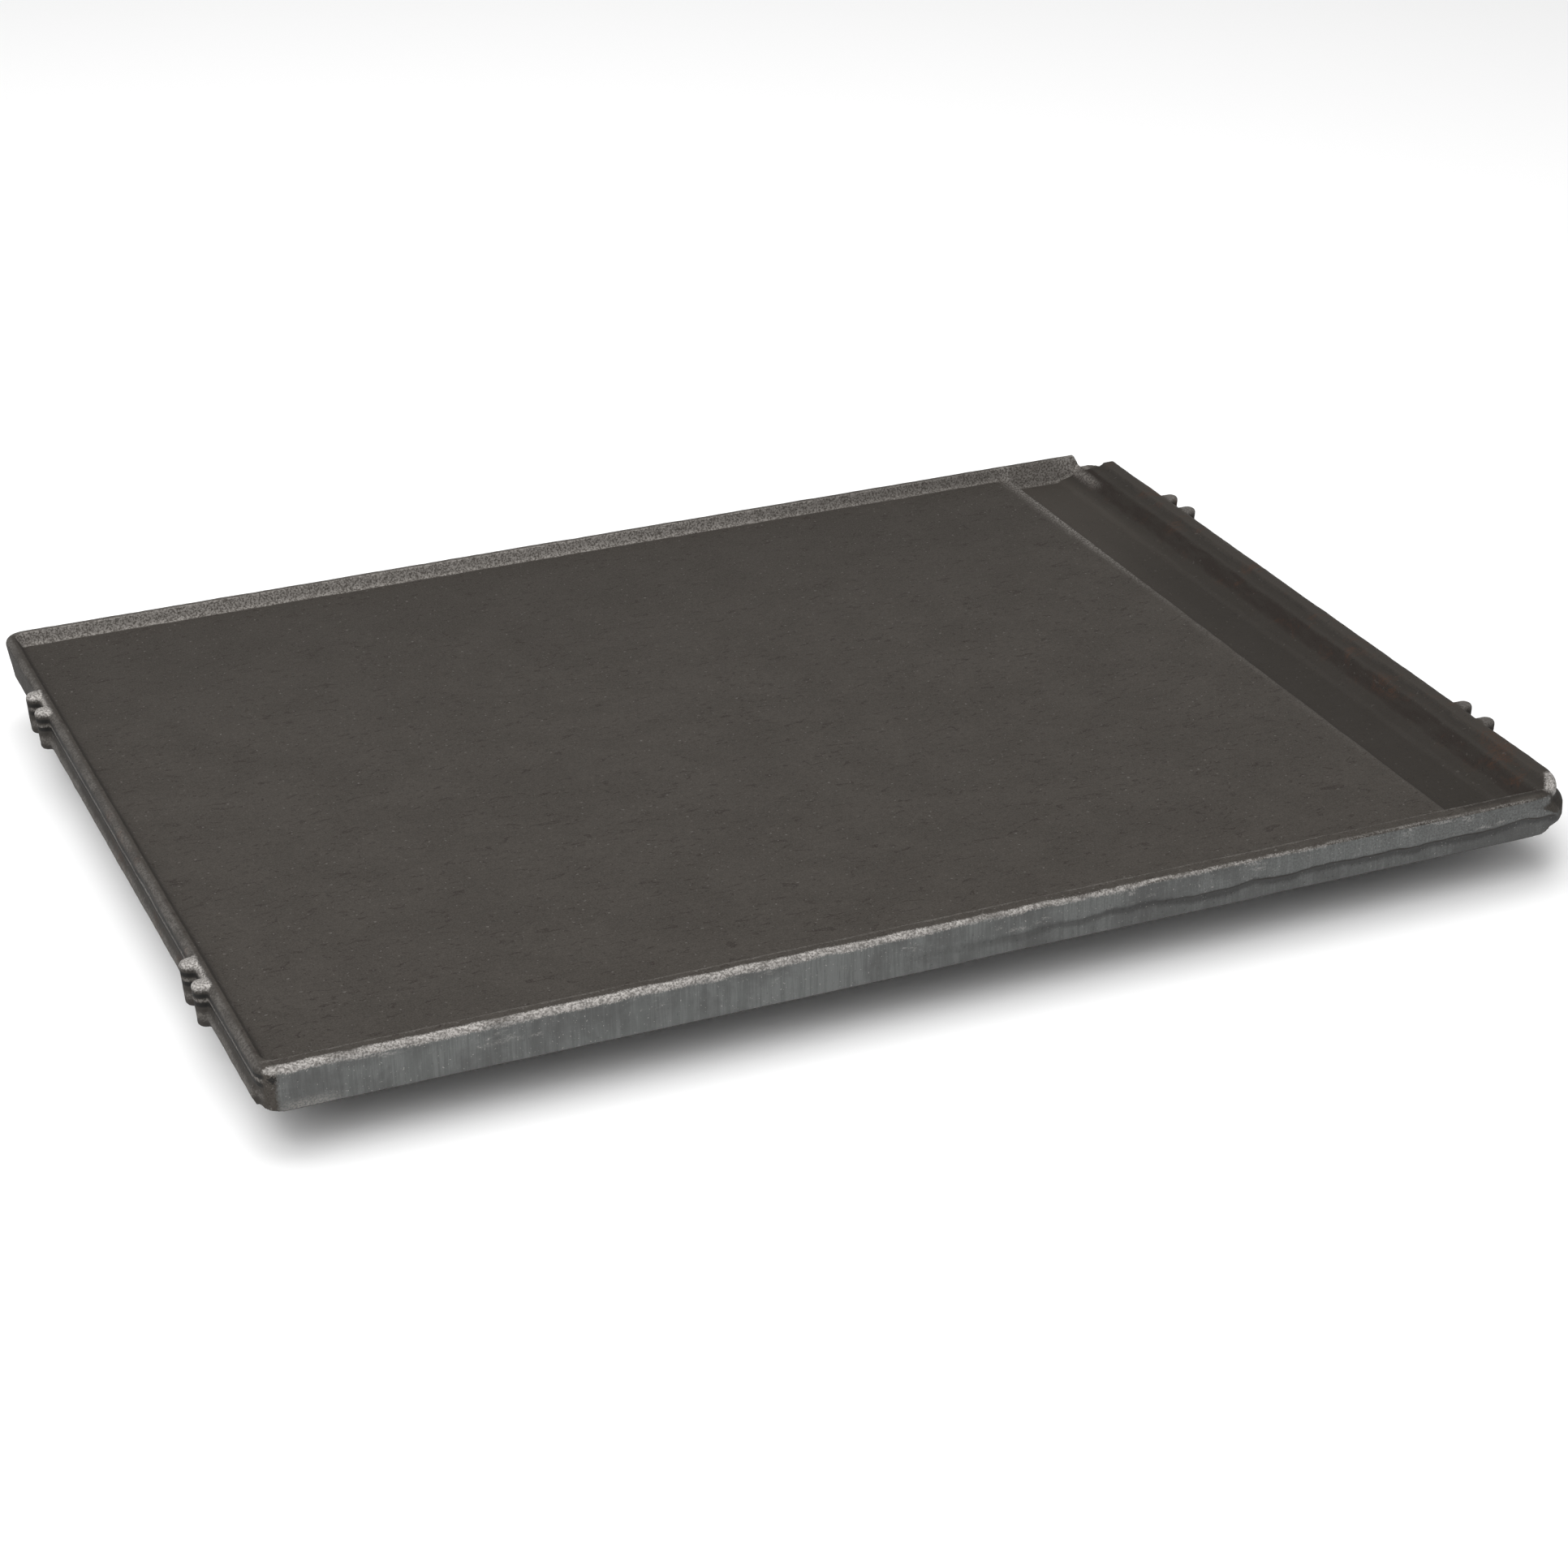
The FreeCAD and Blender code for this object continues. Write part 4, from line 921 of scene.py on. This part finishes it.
# ---- camera, light and floor
view = {
    "place": Vector((-0.5030, -1.2466, 0.6609)),
    "turn": math.radians(22.529), "down": math.radians(26.067), "roll": math.radians(-0.787),
    "lens": 84.59, "sensor": 36.0, "near": 0.05, "far": 20.0,
}
light = {
    "worldStrength": 0.42,
    "key": {"place": (-1.5, -1.6, 1.9), "size": 1.8, "power": 52.0},
    "top": {"place": (-0.2, 0.2, 2.2), "size": 2.4, "power": 40.0},
    "floorTone": 0.93, "floorRough": 0.9, "floorHalf": 8.0,
}


def placeCamera():
    data = bpy.data.cameras.new("camera")
    data.lens, data.sensor_width = view["lens"], view["sensor"]
    data.clip_start, data.clip_end = view["near"], view["far"]
    camera = bpy.data.objects.new("camera", data)
    bpy.context.scene.collection.objects.link(camera)
    turn, down, roll = view["turn"], view["down"], view["roll"]
    ahead = Vector((math.sin(turn) * math.cos(down), math.cos(turn) * math.cos(down), -math.sin(down)))
    level = Vector((math.cos(turn), -math.sin(turn), 0.0))
    upright = level.cross(ahead)
    right = level * math.cos(roll) + upright * math.sin(roll)
    up = upright * math.cos(roll) - level * math.sin(roll)
    facing = Matrix((right, up, -ahead)).transposed().to_4x4()
    camera.matrix_world = Matrix.Translation(view["place"]) @ facing
    bpy.context.scene.camera = camera


def softLight(name, settings):
    data = bpy.data.lights.new(name, "AREA")
    data.shape, data.size, data.energy = "SQUARE", settings["size"], settings["power"]
    lamp = bpy.data.objects.new(name, data)
    lamp.location = settings["place"]
    lamp.rotation_euler = (-lamp.location).to_track_quat("-Z", "Y").to_euler()
    bpy.context.scene.collection.objects.link(lamp)


def makeStage():
    world = bpy.data.worlds.new("studio")
    world.use_nodes = True
    sky = next(n for n in world.node_tree.nodes if n.type == "BACKGROUND")
    sky.inputs["Color"].default_value = (1.0, 1.0, 1.0, 1.0)
    sky.inputs["Strength"].default_value = light["worldStrength"]
    bpy.context.scene.world = world
    bpy.context.scene.view_settings.view_transform = "Standard"
    mesh = bpy.data.meshes.new("floor")
    edited = bmesh.new()
    bmesh.ops.create_grid(edited, x_segments=1, y_segments=1, size=light["floorHalf"])
    edited.to_mesh(mesh)
    edited.free()
    floor = bpy.data.objects.new("floor", mesh)
    bpy.context.scene.collection.objects.link(floor)
    material, tree, shader = newMaterial("paleFloor")
    plug(tree, shader, Base_Color=grey(light["floorTone"]), Roughness=light["floorRough"])
    mesh.materials.append(material)
    softLight("keyLight", light["key"])
    softLight("topLight", light["top"])


placeCamera()
makeStage()
print("camera and studio placed")
